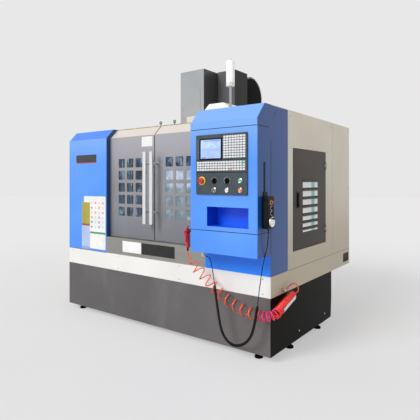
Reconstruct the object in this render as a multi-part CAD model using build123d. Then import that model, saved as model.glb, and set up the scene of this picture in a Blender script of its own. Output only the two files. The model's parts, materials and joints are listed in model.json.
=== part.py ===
from build123d import *
import os
from math import cos, radians, sin, tan

# Vertical machining centre with a full sheet-metal guard, a control unit beside the doors, a hand
# pendant, an air gun on a recoil hose and a tool magazine above the roof.
# Millimetres. X runs to the right from the left side, Y to the back from the front face, and Z up
# from the floor. The finished pieces are moved so that the origin is on the floor under the middle.

# Overall guard
MACHINE_WIDTH = 2200
MIDDLE_X = MACHINE_WIDTH / 2
MACHINE_DEPTH = 1563
SHEET = 3
FLOOR_GAP = 45
SKIRT_TOP = 438
SKIRT_DEPTH = 1097
SKIRT_HEEL = 14
SKIRT_HEEL_HEIGHT = 155
BAND_TOP = 581
SILL_TOP = 726
SILL_LEDGE = 42
FRONT_KNEE = 1605
LEFT_ROOF = 1691
RIGHT_ROOF = 1729
FRONT_SLOPE_RUN = 83
ROOF_FRONT = 128
LEFT_BAY = 544
RIGHT_BAY = 544
OPENING_RIGHT = MACHINE_WIDTH - RIGHT_BAY
CORNER_STRIP = 253
RIGHT_SEAM = 1124
SEAM_WIDTH = 2
SEAM_DEPTH = 1.2
REAR_CUTOUT = (MACHINE_DEPTH - 169, MACHINE_DEPTH - 19, 467, 548)

# Sliding doors
DOOR_PLANE = 46.5
DOOR_BOTTOM = 728
DOOR_SLOPE_RUN = 78.5
DOOR_TOP = 1683
DOOR_LIP = 140
DOOR_RETURN = 25
DOOR_OVERLAP = 14
DOOR_SEAM = MACHINE_WIDTH / 2 - 10
DOOR_SEAM_GAP = 1
DOOR_CLEARANCE = 1
WINDOW_WIDTH = 80
WINDOW_HEIGHT = 78
WINDOW_PITCH_X = 107
WINDOW_PITCH_Z = 105.5
WINDOW_ROWS = 5
WINDOW_TOP = 1416
WINDOW_CORNER = 8
WINDOW_FROM_SEAM = {-1: 142, 1: 127}
WINDOW_FROM_EDGE = 120
PANE_MARGIN = 14
PANE_THICKNESS = 5
HANDLE_FROM_SEAM = 38
HANDLE_WIDTH = 34
HANDLE_DEPTH = 26
HANDLE_STANDOFF = 62
HANDLE_BOTTOM = 870
HANDLE_TOP = 1460
HANDLE_POST_INSET = 97
HANDLE_POST_RADIUS = 10
RAIL_SIZE = 16
RAIL_FIT = 0.3
UPPER_RAIL_Y = 108
UPPER_RAIL_Z = 1578
LOWER_RAIL_Y = 68
LOWER_RAIL_Z = 708
SHOE_LENGTH = 60
SHOE_WALL = 8
SHOE_INSET = 20

# Base
FOOT_PAD_RADIUS = 30
FOOT_PAD_HEIGHT = 16
FOOT_STEM_RADIUS = 10
FOOT_STEM_ENGAGED = 30
FOOT_NUT_ACROSS = 34
FOOT_NUT_HEIGHT = 14
FOOT_HOLE_RADIUS = 10.5
FOOT_EDGE_INSET = 35
FRONT_FOOT_X = 128
FRONT_FOOT_Y = 65
SIDE_FEET_Y = (351, 865)
REAR_FEET_SPREAD = 280
REAR_FOOT_Y = MACHINE_DEPTH - 143
BED_FLANGE = 40
BED_HALF_WIDTH = 680
BED_X = (MIDDLE_X - BED_HALF_WIDTH, MIDDLE_X + BED_HALF_WIDTH)
BED_Y = (60, 1060)
BED_TOP = 430
PEDESTAL_HALF_WIDTH = 280
PEDESTAL_X = (MIDDLE_X - PEDESTAL_HALF_WIDTH, MIDDLE_X + PEDESTAL_HALF_WIDTH)
PEDESTAL_Y = (200, 1070)
PEDESTAL_TOP = 587
TONGUE_HALF_WIDTH = 340
TONGUE_X = (MIDDLE_X - TONGUE_HALF_WIDTH, MIDDLE_X + TONGUE_HALF_WIDTH)
TONGUE_BACK = MACHINE_DEPTH - 83
POCKET = 180
POCKET_RIB = 34
POCKET_ROOF = 30

# Work area
TRAY_FRONT = 90
LINER_FACE = 1067
TRAY_LEFT_RIM = 720
TRAY_RIGHT_RIM = 690
TRAY_FLAT_HALF_WIDTH = 310
TRAY_FLAT = (MIDDLE_X - TRAY_FLAT_HALF_WIDTH, MIDDLE_X + TRAY_FLAT_HALF_WIDTH)
TRAY_SLOT_HALF_WIDTH = 265
TRAY_SLOT = (MIDDLE_X - TRAY_SLOT_HALF_WIDTH, MIDDLE_X + TRAY_SLOT_HALF_WIDTH)
TRAY_SLOT_FRONT = 202
SPLASH_WALL_X = OPENING_RIGHT + 121
SPLASH_NOTCH_Y = 150
SPLASH_NOTCH_Z = 1540
LINER_SLOT_HALF_WIDTH = 170
LINER_SLOT = (MIDDLE_X - LINER_SLOT_HALF_WIDTH, MIDDLE_X + LINER_SLOT_HALF_WIDTH)
LINER_SILL = 760

# Axes of motion
SPINDLE_X = MIDDLE_X
SPINDLE_Y = 650
Y_RAIL_SPREAD = 200
Y_RAIL_WIDTH = 35
Y_RAIL_HEIGHT = 30
Y_RAIL_FROM = 250
Y_RAIL_TO = 1062
SADDLE_HALF_X = 240
SADDLE_HALF_Y = 200
SADDLE_BOTTOM_GAP = 38
SADDLE_HEIGHT = 75
TRUCK_WIDTH = 70
TRUCK_LENGTH = 90
TRUCK_DROP = 30
Y_TRAVEL = 190
X_TRAVEL = 250
Z_TRAVEL = 400
TABLE_LENGTH = 2 * X_TRAVEL + 300
TABLE_DEPTH = 380
TABLE_HEIGHT = 60
TABLE_GAP = 45
X_RAIL_SPREAD = 110
X_RAIL_WIDTH = 25
X_RAIL_HEIGHT = 30
X_TRUCK_LENGTH = 80
X_TRUCK_WIDTH = 60
X_TRUCK_HEIGHT = 38
X_TRUCK_SPREAD = 70
TSLOT_PITCH = 100
TSLOT_COUNT = 3
TSLOT_WIDTH = 18
TSLOT_NECK = 20
TSLOT_HEAD_WIDTH = 30
TSLOT_HEAD_HEIGHT = 13
SCREW_RADIUS = 12
SCREW_FIT = 0.5
NUT_SIZE = 60
BEARING_LENGTH = 30
BEARING_WIDTH = 80
Y_SCREW_LIFT = 19
X_SCREW_DROP = 21
COLUMN_X = (SPINDLE_X - 200, SPINDLE_X + 200)
COLUMN_FRONT = 1110
COLUMN_Y = (COLUMN_FRONT, MACHINE_DEPTH - 133)
COLUMN_TOP = 2100
COLUMN_WALL = 45
COLUMN_WINDOW = 190
Z_RAIL_SPREAD = 120
Z_RAIL_TO = 2050
Z_SCREW_Y = 1092
Z_MOTOR_SIZE = 130
Z_MOTOR_HEIGHT = 110

# Spindle head
NOSE_Z = 1330
Z_RAIL_FROM = NOSE_Z - Z_TRAVEL - 160
HEAD_TOP = 1830
CARRIAGE_HALF_WIDTH = 145
CARRIAGE_FACE = 1060
CARRIAGE_THICKNESS = 25
HOUSING_RADIUS = 95
ARM_HALF_WIDTH = 90
MOTOR_PLATE_Z = 1700
MOTOR_PLATE = 25
SPINDLE_RADIUS = 35
SPINDLE_NOSE_RADIUS = 44
SPINDLE_NOSE = 12
SPINDLE_LENGTH = 300
SPINDLE_FIT = 0.1
TAPER_MOUTH_RADIUS = 22.225
TAPER_LENGTH = 65
DRAWBAR_RADIUS = 8
KEY_WIDTH = 16
KEY_HEIGHT = 8
MOTOR_RADIUS = 88
MOTOR_HEIGHT = 380
MOTOR_FLANGE = 190
COVER_X = (SPINDLE_X - 136, SPINDLE_X + 138)
COVER_FRONT = 530
COVER_BACK = 770
COVER_BOTTOM = 1640
COVER_TOP = 2232
COVER_HATCH = (COVER_X[0] + 28, COVER_X[1] - 39, 1775, 2089)
COVER_HATCH_BEVEL = 40
COVER_HATCH_RAISE = 2

# Tool magazine
HOUSING_GAP = 4
MAGAZINE_WIDTH = 194
MAGAZINE_Y = (737, 948)
MAGAZINE_TOP = 2238
DISC_Y = 1070
DISC_Z = 2040
DISC_RADIUS = 193
DISC_PLATE = 20
DISC_X = COLUMN_X[1] + 62
POT_COUNT = 14
POT_RADIUS = 28
POT_CIRCLE = 163
POT_LENGTH = 62
POT_END_RADIUS = 11
POT_END = 8
AXLE_RADIUS = 18
AXLE_FIT = 0.1
HUB_RADIUS = 45
LUG_DEPTH = 40
LUG_SIZE = 100

# Roof
HEAD_HOLE_MARGIN_LEFT = 16
HEAD_HOLE_FRONT = 505
COLUMN_HOLE_MARGIN = 10
COLUMN_HOLE_FRONT = 1025
HOOD_Y = (200, 480)
HOOD_RIGHT = OPENING_RIGHT + 94
HOOD_LEFT = HOOD_RIGHT - 280
HOOD_TOP = 1830
HOOD_LEFT_KNEE = (70, 1762)
HOOD_RIGHT_KNEE = (70, 1775)
EYE_X = (SPINDLE_X - 24, SPINDLE_X + 131)
EYE_Y = 140
EYE_RADIUS = 14
EYE_WIRE = 4
EYE_STEM = 12
SWITCH_X = (OPENING_RIGHT - 284, OPENING_RIGHT - 188)
SWITCH_DEPTH = 42
SWITCH_HEIGHT = 45
SWITCH_KNOB_RADIUS = 13
LAMP_X = OPENING_RIGHT + 122
LAMP_Y = 150
LAMP_FLANGE_RADIUS = 32
LAMP_FLANGE = 8
POLE_RADIUS = 9
POLE_HEIGHT = 205
LAMP_RADIUS = 32
LAMP_HEIGHT = 193
LAMP_RINGS = 3
LAMP_GROOVE = 3

# Control cabinet
CONTROL_DEPTH = 176
CONTROL_BOTTOM = 727
CONTROL_SEAM = 882.5
HOOD_SEAM = 1576
CONTROL_KNEE = 1623.5
CONTROL_SLOPE_RUN = 95
CONTROL_CORNER = 8
POCKET_BOX = (OPENING_RIGHT + 146.5, MACHINE_WIDTH - 65, 913, 1046)
POCKET_DEPTH = 125
CABLE_SLOT_Y = -85
CABLE_SLOT_WIDTH = 8
CABLE_SLOT_Z = (1117, 1341)
PANEL_BOX = (OPENING_RIGHT + 60, MACHINE_WIDTH - 69, 1129, 1535.5)
PANEL_THICKNESS = 10
PANEL_CORNER = 8
PANEL_LAP = 14
SCREEN_BOX = (PANEL_BOX[0] + 39, PANEL_BOX[0] + 210, 1374, 1502)
SCREEN_RECESS = 4
SCREEN_THICKNESS = 3
SCREEN_FIT = 0.3
KEY_RAISE = 2
KEY_GAP = 4
MDI_BOX = (SCREEN_BOX[1] + 21, PANEL_BOX[1] - 13, 1374, 1521)
MDI_GRID = (8, 9)
SIDE_KEY_BOX = (PANEL_BOX[0] + 12, PANEL_BOX[0] + 27, 1374, 1502)
SIDE_KEY_GRID = (1, 7)
MACHINE_KEY_BOX = (PANEL_BOX[0] + 9, PANEL_BOX[1] - 15, 1291, 1353)
MACHINE_KEY_GRID = (18, 4)
PANEL_DIVIDER = 1279
DIVIDER_WIDTH = 3
PUSH_RADIUS = 12
PUSH_RING = 4
PUSH_RING_HEIGHT = 4
PUSH_STAND = 4
PUSH_TRAVEL = 3
PUSH_BODY = 10
STEM_RADIUS = 4
STEM_FIT = 0.2
STEM_BEYOND = 6
STOP_RADIUS = 20
STOP_HEAD = 14
STOP_TRAVEL = 5
STOP_GAP = STOP_TRAVEL + 2
STOP_PLATE_RADIUS = 28
STOP_PLATE = 1.5
SELECTOR_RADIUS = 15
SELECTOR_BODY = 8
SELECTOR_GRIP = (7, 28, 12)
KEY_BARREL_RADIUS = 11
KEY_BOW = (3, 22, 20)
ROW_HIGH = 1222
ROW_LOW = 1160
STOP_X = PANEL_BOX[0] + 52
COLUMN_PITCH = 104
COLUMN_ONE_X = STOP_X + COLUMN_PITCH
COLUMN_TWO_X = COLUMN_ONE_X + COLUMN_PITCH
COLUMN_THREE_X = COLUMN_TWO_X + COLUMN_PITCH

# Hand pendant
PENDANT_Y = (-119, -39)
PENDANT_Z = (914, 1123)
PENDANT_DEPTH = 40
PENDANT_CORNER = 10
PENDANT_HOOK = 5
PENDANT_HOOK_Z = (1040, 1150)
PENDANT_HOOK_INSET = 16
PENDANT_STOP_Z = 1083
PENDANT_STOP_RADIUS = 12
PENDANT_STOP_HEAD = 8
PENDANT_STOP_TRAVEL = 4
PENDANT_STOP_GAP = PENDANT_STOP_TRAVEL + 1
PENDANT_KNOBS_Z = (1046, 1014)
PENDANT_KNOB_RADIUS = 10
PENDANT_KNOB_HEIGHT = 14
WHEEL_Z = 958
WHEEL_RADIUS = 33
WHEEL_THICKNESS = 9
WHEEL_GAP = 2
CRANK_RADIUS = 5
CRANK_LENGTH = 16
CRANK_OFFSET = 21
PENDANT_BORE = 8
GLAND_RADIUS = 7
GLAND_LENGTH = 12

# Pendant cable, points chosen by eye from the way it hangs
LEAD_DIAMETER = 7
CURL_DIAMETER = 20
CONNECTOR_X = OPENING_RIGHT + 82
CONNECTOR_Y = -138
CONNECTOR_Z = 697
CONNECTOR_RADIUS = 12
ELBOW_RADIUS = 8
ELBOW_LENGTH = 26
LEAD_UPPER = [
    (2225, -79, 901.7),
    (2225, -79, 858),
    (2219, -80, 800),
    (2205, -82, 742),
    (2190, -84, 684),
    (2180, -86, 626),
    (2173, -88, 568),
    (2165, -91, 512),
    (2161, -93.3, 466),
    (2155, -94, 420),
]
CURL_ROUTE = [
    (2155, -94, 420),
    (2149, -94.7, 374),
    (2139, -96, 316),
    (2127, -98, 258),
    (2110, -100, 202),
    (2078, -103, 156),
    (2034, -107, 124),
    (1985, -111, 112),
    (1938, -116, 128),
    (1901, -121, 168),
    (1880, -124, 222),
    (1867, -125, 280),
    (1857, -126, 340),
    (1848.5, -127.2, 398),
    (1839, -128.4, 456),
    (1831, -129, 516),
]
LEAD_LOWER = [
    (1831, -129, 516),
    (1827, -129.3, 546),
    (1820, -130.5, 586),
    (1813.5, -132, 626),
    (1808, -134, 660),
    (1798, -136.5, 684),
    (1780, -138, 697),
    (1764.3, -138, 697),
]

# Recoil hose, points chosen by eye from the way it hangs
HOSE_DIAMETER = 8
COIL_DIAMETER = 64
HOSE_GAP = 0.3
HOSE_ROUTE = [
    (1614, -153, 744),
    (1614, -153, 702),
    (1624, -146, 660),
    (1644, -128, 620),
    (1670, -102, 580),
    (1700, -78, 541),
    (1732, -60, 503),
    (1769, -50, 467),
    (1812, -46, 434),
    (1858, -45, 404),
    (1906, -45, 379),
    (1956, -45, 359),
    (2008, -46, 344),
    (2060, -46.5, 333),
    (2108, -45, 328),
    (2152, -48, 329),
    (2193, -56, 333),
    (2226, -47, 339),
    (2243.45, -14, 346.95),
    (2243, 22, 357),
]
TIGHT_COIL = ((2243, 22, 357), (2240, 262, 424))
TIGHT_COIL_DIAMETER = 66
TAIL_ROUTE = [
    (2262, 266.5, 425),
    (2262, 292, 436),
    (2256, 306, 462),
    (2246, 294, 488),
    (2236, 264, 498),
    (2228, 230, 490),
    (2222, 196, 470),
    (2222, 166.3, 470),
]

# Air fitting on the skirt and air gun
FITTING_Y = 152
FITTING_Z = 470
FITTING_RADIUS = 9
FITTING_OUT = 22
FITTING_NOSE = 14
GUN_X = OPENING_RIGHT - 42
GUN_THICKNESS = 22
GUN_Y = -153
GUN_BOTTOM = 744.3
GUN_HANDLE = (26, 96)
GUN_BARREL_RADIUS = 12
GUN_BARREL_Z = 862
GUN_BARREL = (-179, -126)
GUN_NOZZLE_RADIUS = 4
GUN_NOZZLE_LENGTH = 14
GUN_RING_Z = 884
GUN_RING_RADIUS = 13
GUN_RING_HOLE = 8
TRIGGER_LENGTH = 56
TRIGGER_THICKNESS = 5
TRIGGER_WIDTH = 12
TRIGGER_GAP = 13
TRIGGER_PIN_RADIUS = 2
PEG_RADIUS = 5

# Electrical cabinet in the right side
CABINET_DOOR_Y = (338, 966)
CABINET_DOOR_Z = (710, 1459)
CABINET_GAP = 4
CABINET_RETURN = 20
CABINET_BOX_MARGIN = 20
LOUVRE_Y = (499, 797)
LOUVRE_Z = 834
LOUVRE_HEIGHT = 46
LOUVRE_PITCH = 56.5
LOUVRE_COUNT = 7
LOUVRE_DEPTH = 1.5
HINGE_Z = (820, 1350)
HINGE_KNUCKLE = 5
HINGE_PIN = 2.5
HINGE_PIN_FIT = 0.1
HINGE_HALF = 30
HINGE_MIDDLE = 10
HINGE_LEAF = 2
HINGE_LEAF_WIDTH = 20
LATCH_Y = 424
LATCH_Z = 1120
LATCH_PLATE = (403, 446, 1021, 1143)
LATCH_PLATE_THICKNESS = 3
LATCH_SHAFT_RADIUS = 8
LATCH_ARM = (24, 96, 7)
LATCH_TONGUE = (16, 98, 4)
LATCH_KEY_Z = 1044
PLATE_THICKNESS = 3
DRIVE_COUNT = 4
DRIVE_SIZE = (150, 70, 250)
DRIVE_GAP = 24
RELAY_COUNT = 9
RELAY_SIZE = (70, 40, 90)
RELAY_GAP = 14
TERMINAL_SIZE = (45, 480, 50)
TERMINAL_LIFT = 80
PLATE_EDGE = 60
RELAYS_BELOW_DRIVES = 70

# Worked out from the sizes above
INNER_RIGHT = MACHINE_WIDTH - SHEET
INNER_BACK = MACHINE_DEPTH - SHEET
SADDLE_BOTTOM = PEDESTAL_TOP + SADDLE_BOTTOM_GAP
SADDLE_TOP = SADDLE_BOTTOM + SADDLE_HEIGHT
TABLE_BOTTOM = SADDLE_TOP + TABLE_GAP
TABLE_TOP = TABLE_BOTTOM + TABLE_HEIGHT
X_SCREW_Z = TABLE_BOTTOM - X_SCREW_DROP
Y_SCREW_Z = PEDESTAL_TOP + Y_SCREW_LIFT
PANEL_FACE = -CONTROL_DEPTH - PANEL_THICKNESS
PENDANT_BACK = MACHINE_WIDTH + PENDANT_HOOK
PENDANT_FACE = PENDANT_BACK + PENDANT_DEPTH
PENDANT_MID_Y = (PENDANT_Y[0] + PENDANT_Y[1]) / 2
MAGAZINE_X = (COVER_X[1] + HOUSING_GAP, COVER_X[1] + HOUSING_GAP + MAGAZINE_WIDTH)
FRONT_PATH = [
    (0, BAND_TOP),
    (0, FRONT_KNEE),
    (FRONT_SLOPE_RUN, LEFT_ROOF),
    (ROOF_FRONT, LEFT_ROOF),
]


def block(x0, x1, y0, y1, z0, z1):
    """A box between six planes."""
    middle = Pos((x0 + x1) / 2, (y0 + y1) / 2, (z0 + z1) / 2)
    return middle * Box(x1 - x0, y1 - y0, z1 - z0)


def side_prism(outline, x0, x1):
    """An outline in Y and Z, extruded along X."""
    face = Plane.YZ.offset(x0) * Polygon(*outline, align=None)
    return extrude(face, amount=x1 - x0, dir=(1, 0, 0))


def front_prism(outline, y0, y1):
    """An outline in X and Z, extruded along Y."""
    face = Plane.XZ.offset(-y0) * Polygon(*outline, align=None)
    return extrude(face, amount=y1 - y0, dir=(0, 1, 0))


def rod(start, along, radius, length):
    """A round bar from a point, along a direction."""
    return Plane(origin=start, z_dir=along) * extrude(Circle(radius), amount=length)


def beside(path, distance):
    """The path moved to its right by a distance, with mitred corners."""
    points = [Vector(*p) for p in path]
    normals = []
    for a, b in zip(points, points[1:]):
        step = (b - a).normalized()
        normals.append(Vector(step.Y, -step.X))
    moved = [points[0] + normals[0] * distance]
    for p, n, m in zip(points[1:], normals, normals[1:]):
        moved.append(p + (n + m) * (distance / (1 + n.dot(m))))
    moved.append(points[-1] + normals[-1] * distance)
    return [(p.X, p.Y) for p in moved]


def folded(path, thickness):
    """The closed outline of a sheet folded along a path, with its thickness on the path's right."""
    return list(path) + beside(path, thickness)[::-1]


def fused(first, *others):
    """One solid out of pieces that meet."""
    whole = first
    for other in others:
        whole = whole + other
    return whole


def door_path(bottom):
    """The outside of a door, from its foot over its slope to its lip under the roof."""
    return [
        (DOOR_PLANE, bottom),
        (DOOR_PLANE, FRONT_KNEE),
        (DOOR_PLANE + DOOR_SLOPE_RUN, DOOR_TOP),
        (DOOR_LIP, DOOR_TOP),
    ]


def door_jamb(front_path):
    """The outline between a bay's front and the doors that run behind it."""
    behind = beside(door_path(BAND_TOP), -DOOR_CLEARANCE)
    behind[-1] = (ROOF_FRONT, behind[-1][1])
    return front_path + behind[::-1]


def tube(points, diameter, name):
    """A round tube along straight runs, with an arc as large as its runs allow at each corner."""
    route = [Vector(*p) for p in points]
    radii = []
    for a, b, c in zip(route, route[1:], route[2:]):
        turn = (b - a).get_angle(c - b)
        shorter = min((b - a).length, (c - b).length)
        radii.append(0.45 * shorter / tan(radians(turn) / 2))
    print(name, "radii", [round(r) for r in radii])
    path = FilletPolyline(*route, radius=radii)
    start = Plane(origin=route[0], z_dir=route[1] - route[0])
    return sweep(start * Circle(diameter / 2), path=path)


def hexagon(across):
    return RegularPolygon(across / 2, 6, major_radius=False)


# Base and guard


def foot_places():
    """Where the levelling feet stand, in X and Y."""
    left = FOOT_EDGE_INSET
    right = MACHINE_WIDTH - FOOT_EDGE_INSET
    front = [(FRONT_FOOT_X, FRONT_FOOT_Y), (MACHINE_WIDTH - FRONT_FOOT_X, FRONT_FOOT_Y)]
    sides = [(x, y) for x in (left, right) for y in SIDE_FEET_Y]
    rear = [(MIDDLE_X + s * REAR_FEET_SPREAD, REAR_FOOT_Y) for s in (-1, 1)]
    return front + sides + rear


def levelling_feet():
    """A pad, a nut against the bed's underside and a stem up into the bed, for each place."""
    feet = []
    for x, y in foot_places():
        pad = rod((x, y, 0), (0, 0, 1), FOOT_PAD_RADIUS, FOOT_PAD_HEIGHT)
        pad = chamfer(pad.faces().sort_by(Axis.Z)[-1].edges(), FOOT_PAD_HEIGHT / 3)
        stem = rod((x, y, 0), (0, 0, 1), FOOT_STEM_RADIUS, FLOOR_GAP + FOOT_STEM_ENGAGED)
        nut_foot = Pos(x, y, FLOOR_GAP - FOOT_NUT_HEIGHT)
        nut = nut_foot * extrude(hexagon(FOOT_NUT_ACROSS), amount=FOOT_NUT_HEIGHT)
        feet.append(fused(pad, stem, nut))
    return feet


def bed_casting():
    """A wide foot flange, a ribbed body, the pedestal of the saddle's ways and the column's seat."""
    flange_top = FLOOR_GAP + BED_FLANGE
    bed = fused(
        block(SHEET, INNER_RIGHT, SHEET, SKIRT_DEPTH - 10, FLOOR_GAP, flange_top),
        block(*BED_X, *BED_Y, flange_top, BED_TOP),
        block(*PEDESTAL_X, *PEDESTAL_Y, BED_TOP, PEDESTAL_TOP),
        block(*TONGUE_X, BED_Y[1], TONGUE_BACK, FLOOR_GAP, PEDESTAL_TOP),
    )
    step = POCKET + POCKET_RIB
    across = int((BED_X[1] - BED_X[0] - POCKET_RIB) // step)
    along = int((BED_Y[1] - BED_Y[0] - POCKET_RIB) // step)
    x0 = (BED_X[0] + BED_X[1] - across * step + POCKET_RIB) / 2
    y0 = (BED_Y[0] + BED_Y[1] - along * step + POCKET_RIB) / 2
    for i in range(across):
        for j in range(along):
            x = x0 + i * step
            y = y0 + j * step
            bed -= block(x, x + POCKET, y, y + POCKET, FLOOR_GAP, BED_TOP - POCKET_ROOF)
    for x, y in foot_places():
        hole = rod((x, y, FLOOR_GAP), (0, 0, 1), FOOT_HOLE_RADIUS, BED_FLANGE)
        bed -= hole
    for side in (-1, 1):
        x = SPINDLE_X + side * Y_RAIL_SPREAD
        half = Y_RAIL_WIDTH / 2
        top = PEDESTAL_TOP + Y_RAIL_HEIGHT
        bed += block(x - half, x + half, Y_RAIL_FROM, Y_RAIL_TO, PEDESTAL_TOP, top)
    half = BEARING_WIDTH / 2
    front = SPINDLE_Y - SADDLE_HALF_Y - Y_TRAVEL - BEARING_LENGTH - 12
    back = SPINDLE_Y + SADDLE_HALF_Y + Y_TRAVEL + 3
    bearing_top = SADDLE_BOTTOM - 1
    for y, length in ((front, BEARING_LENGTH), (back, PEDESTAL_Y[1] - 4 - back)):
        bed += block(SPINDLE_X - half, SPINDLE_X + half, y, y + length, PEDESTAL_TOP, bearing_top)
    bed += rod((SPINDLE_X, front, Y_SCREW_Z), (0, 1, 0), SCREW_RADIUS, back - front + 1)
    return bed


def base_skirt():
    """The dark plinth: a front and two sides, with the heel of each side cut back."""
    front = block(0, MACHINE_WIDTH, 0, SHEET, FLOOR_GAP, SKIRT_TOP)
    side = [
        (SHEET, FLOOR_GAP),
        (SKIRT_DEPTH - SKIRT_HEEL, FLOOR_GAP),
        (SKIRT_DEPTH, FLOOR_GAP + SKIRT_HEEL_HEIGHT),
        (SKIRT_DEPTH, SKIRT_TOP),
        (SHEET, SKIRT_TOP),
    ]
    return fused(
        front,
        side_prism(side, 0, SHEET),
        side_prism(side, INNER_RIGHT, MACHINE_WIDTH),
    )


def lower_band():
    """The light band above the plinth, across the front and along the right side."""
    band = fused(
        block(0, MACHINE_WIDTH, 0, SHEET, SKIRT_TOP, BAND_TOP),
        block(INNER_RIGHT, MACHINE_WIDTH, SHEET, MACHINE_DEPTH, SKIRT_TOP, BAND_TOP),
    )
    return band - block(INNER_RIGHT - 1, MACHINE_WIDTH + 1, *REAR_CUTOUT)


def left_front_panel():
    skin = side_prism(folded(FRONT_PATH, SHEET), 0, LEFT_BAY)
    jamb = side_prism(door_jamb(FRONT_PATH), LEFT_BAY - SHEET, LEFT_BAY)
    return fused(skin, jamb)


def left_side_panel():
    outline = beside(FRONT_PATH, SHEET) + [
        (MACHINE_DEPTH, LEFT_ROOF - SHEET),
        (MACHINE_DEPTH, SKIRT_TOP),
        (SHEET, SKIRT_TOP),
    ]
    return side_prism(outline, 0, SHEET)


def right_corner_panel():
    """The front wall behind the control cabinet, its door jamb and the strip on the side."""
    wall = block(OPENING_RIGHT, MACHINE_WIDTH, 0, SHEET, BAND_TOP, RIGHT_ROOF)
    strip = block(INNER_RIGHT, MACHINE_WIDTH, SHEET, CORNER_STRIP, BAND_TOP, RIGHT_ROOF - SHEET)
    edge = [(0, BAND_TOP), (0, RIGHT_ROOF), (ROOF_FRONT, RIGHT_ROOF)]
    jamb = side_prism(door_jamb(edge), OPENING_RIGHT, OPENING_RIGHT + SHEET)
    return fused(wall, strip, jamb)


def cabinet_hole(margin):
    """The hole in the right side for the electrical cabinet's door, or the box round it."""
    y0, y1 = CABINET_DOOR_Y
    z0, z1 = CABINET_DOOR_Z
    return (y0 - margin, y1 + margin, z0 - margin, z1 + margin)


def hinge_axis():
    """The door's hinge line, just outside the right side, in X and Y."""
    return MACHINE_WIDTH + HINGE_KNUCKLE, CABINET_DOOR_Y[1] + HINGE_LEAF


def right_side_panel():
    top = RIGHT_ROOF - SHEET
    panel = block(INNER_RIGHT, MACHINE_WIDTH, CORNER_STRIP, MACHINE_DEPTH, BAND_TOP, top)
    panel -= block(INNER_RIGHT - 1, MACHINE_WIDTH + 1, *cabinet_hole(CABINET_GAP))
    half = SEAM_WIDTH / 2
    groove = MACHINE_WIDTH - SEAM_DEPTH
    panel -= block(groove, MACHINE_WIDTH + 1, RIGHT_SEAM - half, RIGHT_SEAM + half, BAND_TOP, top)
    x, y = hinge_axis()
    leaf_from = y + HINGE_KNUCKLE + RAIL_FIT
    for z in HINGE_Z:
        low = z - HINGE_HALF
        high = z + HINGE_HALF
        leaf_to = leaf_from + HINGE_LEAF_WIDTH
        leaf_x = MACHINE_WIDTH + HINGE_LEAF
        panel += block(MACHINE_WIDTH, leaf_x, leaf_from, leaf_to, low, high)
        for a, b in ((low, z - HINGE_MIDDLE - RAIL_FIT), (z + HINGE_MIDDLE + RAIL_FIT, high)):
            panel += rod((x, y, a), (0, 0, 1), HINGE_KNUCKLE, b - a)
            panel += block(MACHINE_WIDTH, x, y, leaf_from + 1, a, b)
        panel += rod((x, y, low), (0, 0, 1), HINGE_PIN, high - low)
    return panel


def back_panel():
    """The back wall, with a return along its foot that closes the overhang round the bed."""
    outline = [
        (SHEET, SKIRT_TOP),
        (INNER_RIGHT, SKIRT_TOP),
        (INNER_RIGHT, RIGHT_ROOF - SHEET),
        (OPENING_RIGHT + SHEET, RIGHT_ROOF - SHEET),
        (OPENING_RIGHT + SHEET, LEFT_ROOF - SHEET),
        (SHEET, LEFT_ROOF - SHEET),
    ]
    wall = front_prism(outline, INNER_BACK, MACHINE_DEPTH)
    floor = block(SHEET, INNER_RIGHT, SKIRT_DEPTH, INNER_BACK, SKIRT_TOP, SKIRT_TOP + SHEET)
    gap = RAIL_FIT
    hole = block(
        TONGUE_X[0] - gap, TONGUE_X[1] + gap, SKIRT_DEPTH - 1, TONGUE_BACK + gap, SKIRT_TOP - 1, BAND_TOP
    )
    return fused(wall, floor) - hole


def roof_hood(margin, foot):
    """The raised hood on the roof, or the hollow inside it."""
    left = HOOD_LEFT + margin
    right = HOOD_RIGHT - margin
    top = HOOD_TOP - margin
    outline = [
        (left, foot),
        (left, HOOD_LEFT_KNEE[1]),
        (left + HOOD_LEFT_KNEE[0], top),
        (right - HOOD_RIGHT_KNEE[0], top),
        (right, HOOD_RIGHT_KNEE[1]),
        (right, foot),
    ]
    return front_prism(outline, HOOD_Y[0] + margin, HOOD_Y[1] - margin)


def roof_panel():
    """The stepped roof with its hood and the hole that the head and the column pass through."""
    step = [
        (0, LEFT_ROOF),
        (OPENING_RIGHT, LEFT_ROOF),
        (OPENING_RIGHT, RIGHT_ROOF),
        (MACHINE_WIDTH, RIGHT_ROOF),
    ]
    roof = front_prism(folded(step, SHEET), ROOF_FRONT, MACHINE_DEPTH)
    roof += block(OPENING_RIGHT + SHEET, MACHINE_WIDTH, SHEET, ROOF_FRONT, RIGHT_ROOF - SHEET, RIGHT_ROOF)
    roof += roof_hood(0, LEFT_ROOF)
    roof -= roof_hood(SHEET, LEFT_ROOF - SHEET)
    below = LEFT_ROOF - 2 * SHEET
    above = LEFT_ROOF + 1
    left = COVER_X[0] - HEAD_HOLE_MARGIN_LEFT
    roof -= block(left, MAGAZINE_X[0], HEAD_HOLE_FRONT, COLUMN_HOLE_FRONT + 1, below, above)
    margin = COLUMN_HOLE_MARGIN
    x0 = COLUMN_X[0] - margin
    x1 = COLUMN_X[1] + margin
    roof -= block(x0, x1, COLUMN_HOLE_FRONT, COLUMN_Y[1] + margin, below, above)
    return [roof] + eye_bolts() + [door_switch()]


def eye_bolts():
    """Two lifting eyes on the roof's front edge."""
    eyes = []
    for x in EYE_X:
        stem = rod((x, EYE_Y, LEFT_ROOF), (0, 0, 1), EYE_WIRE, EYE_STEM)
        centre = LEFT_ROOF + EYE_STEM + EYE_RADIUS - EYE_WIRE
        ring = Pos(x, EYE_Y, centre) * Rot(90, 0, 0) * Torus(EYE_RADIUS - EYE_WIRE, EYE_WIRE)
        eyes.append(fused(stem, ring))
    return eyes


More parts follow.
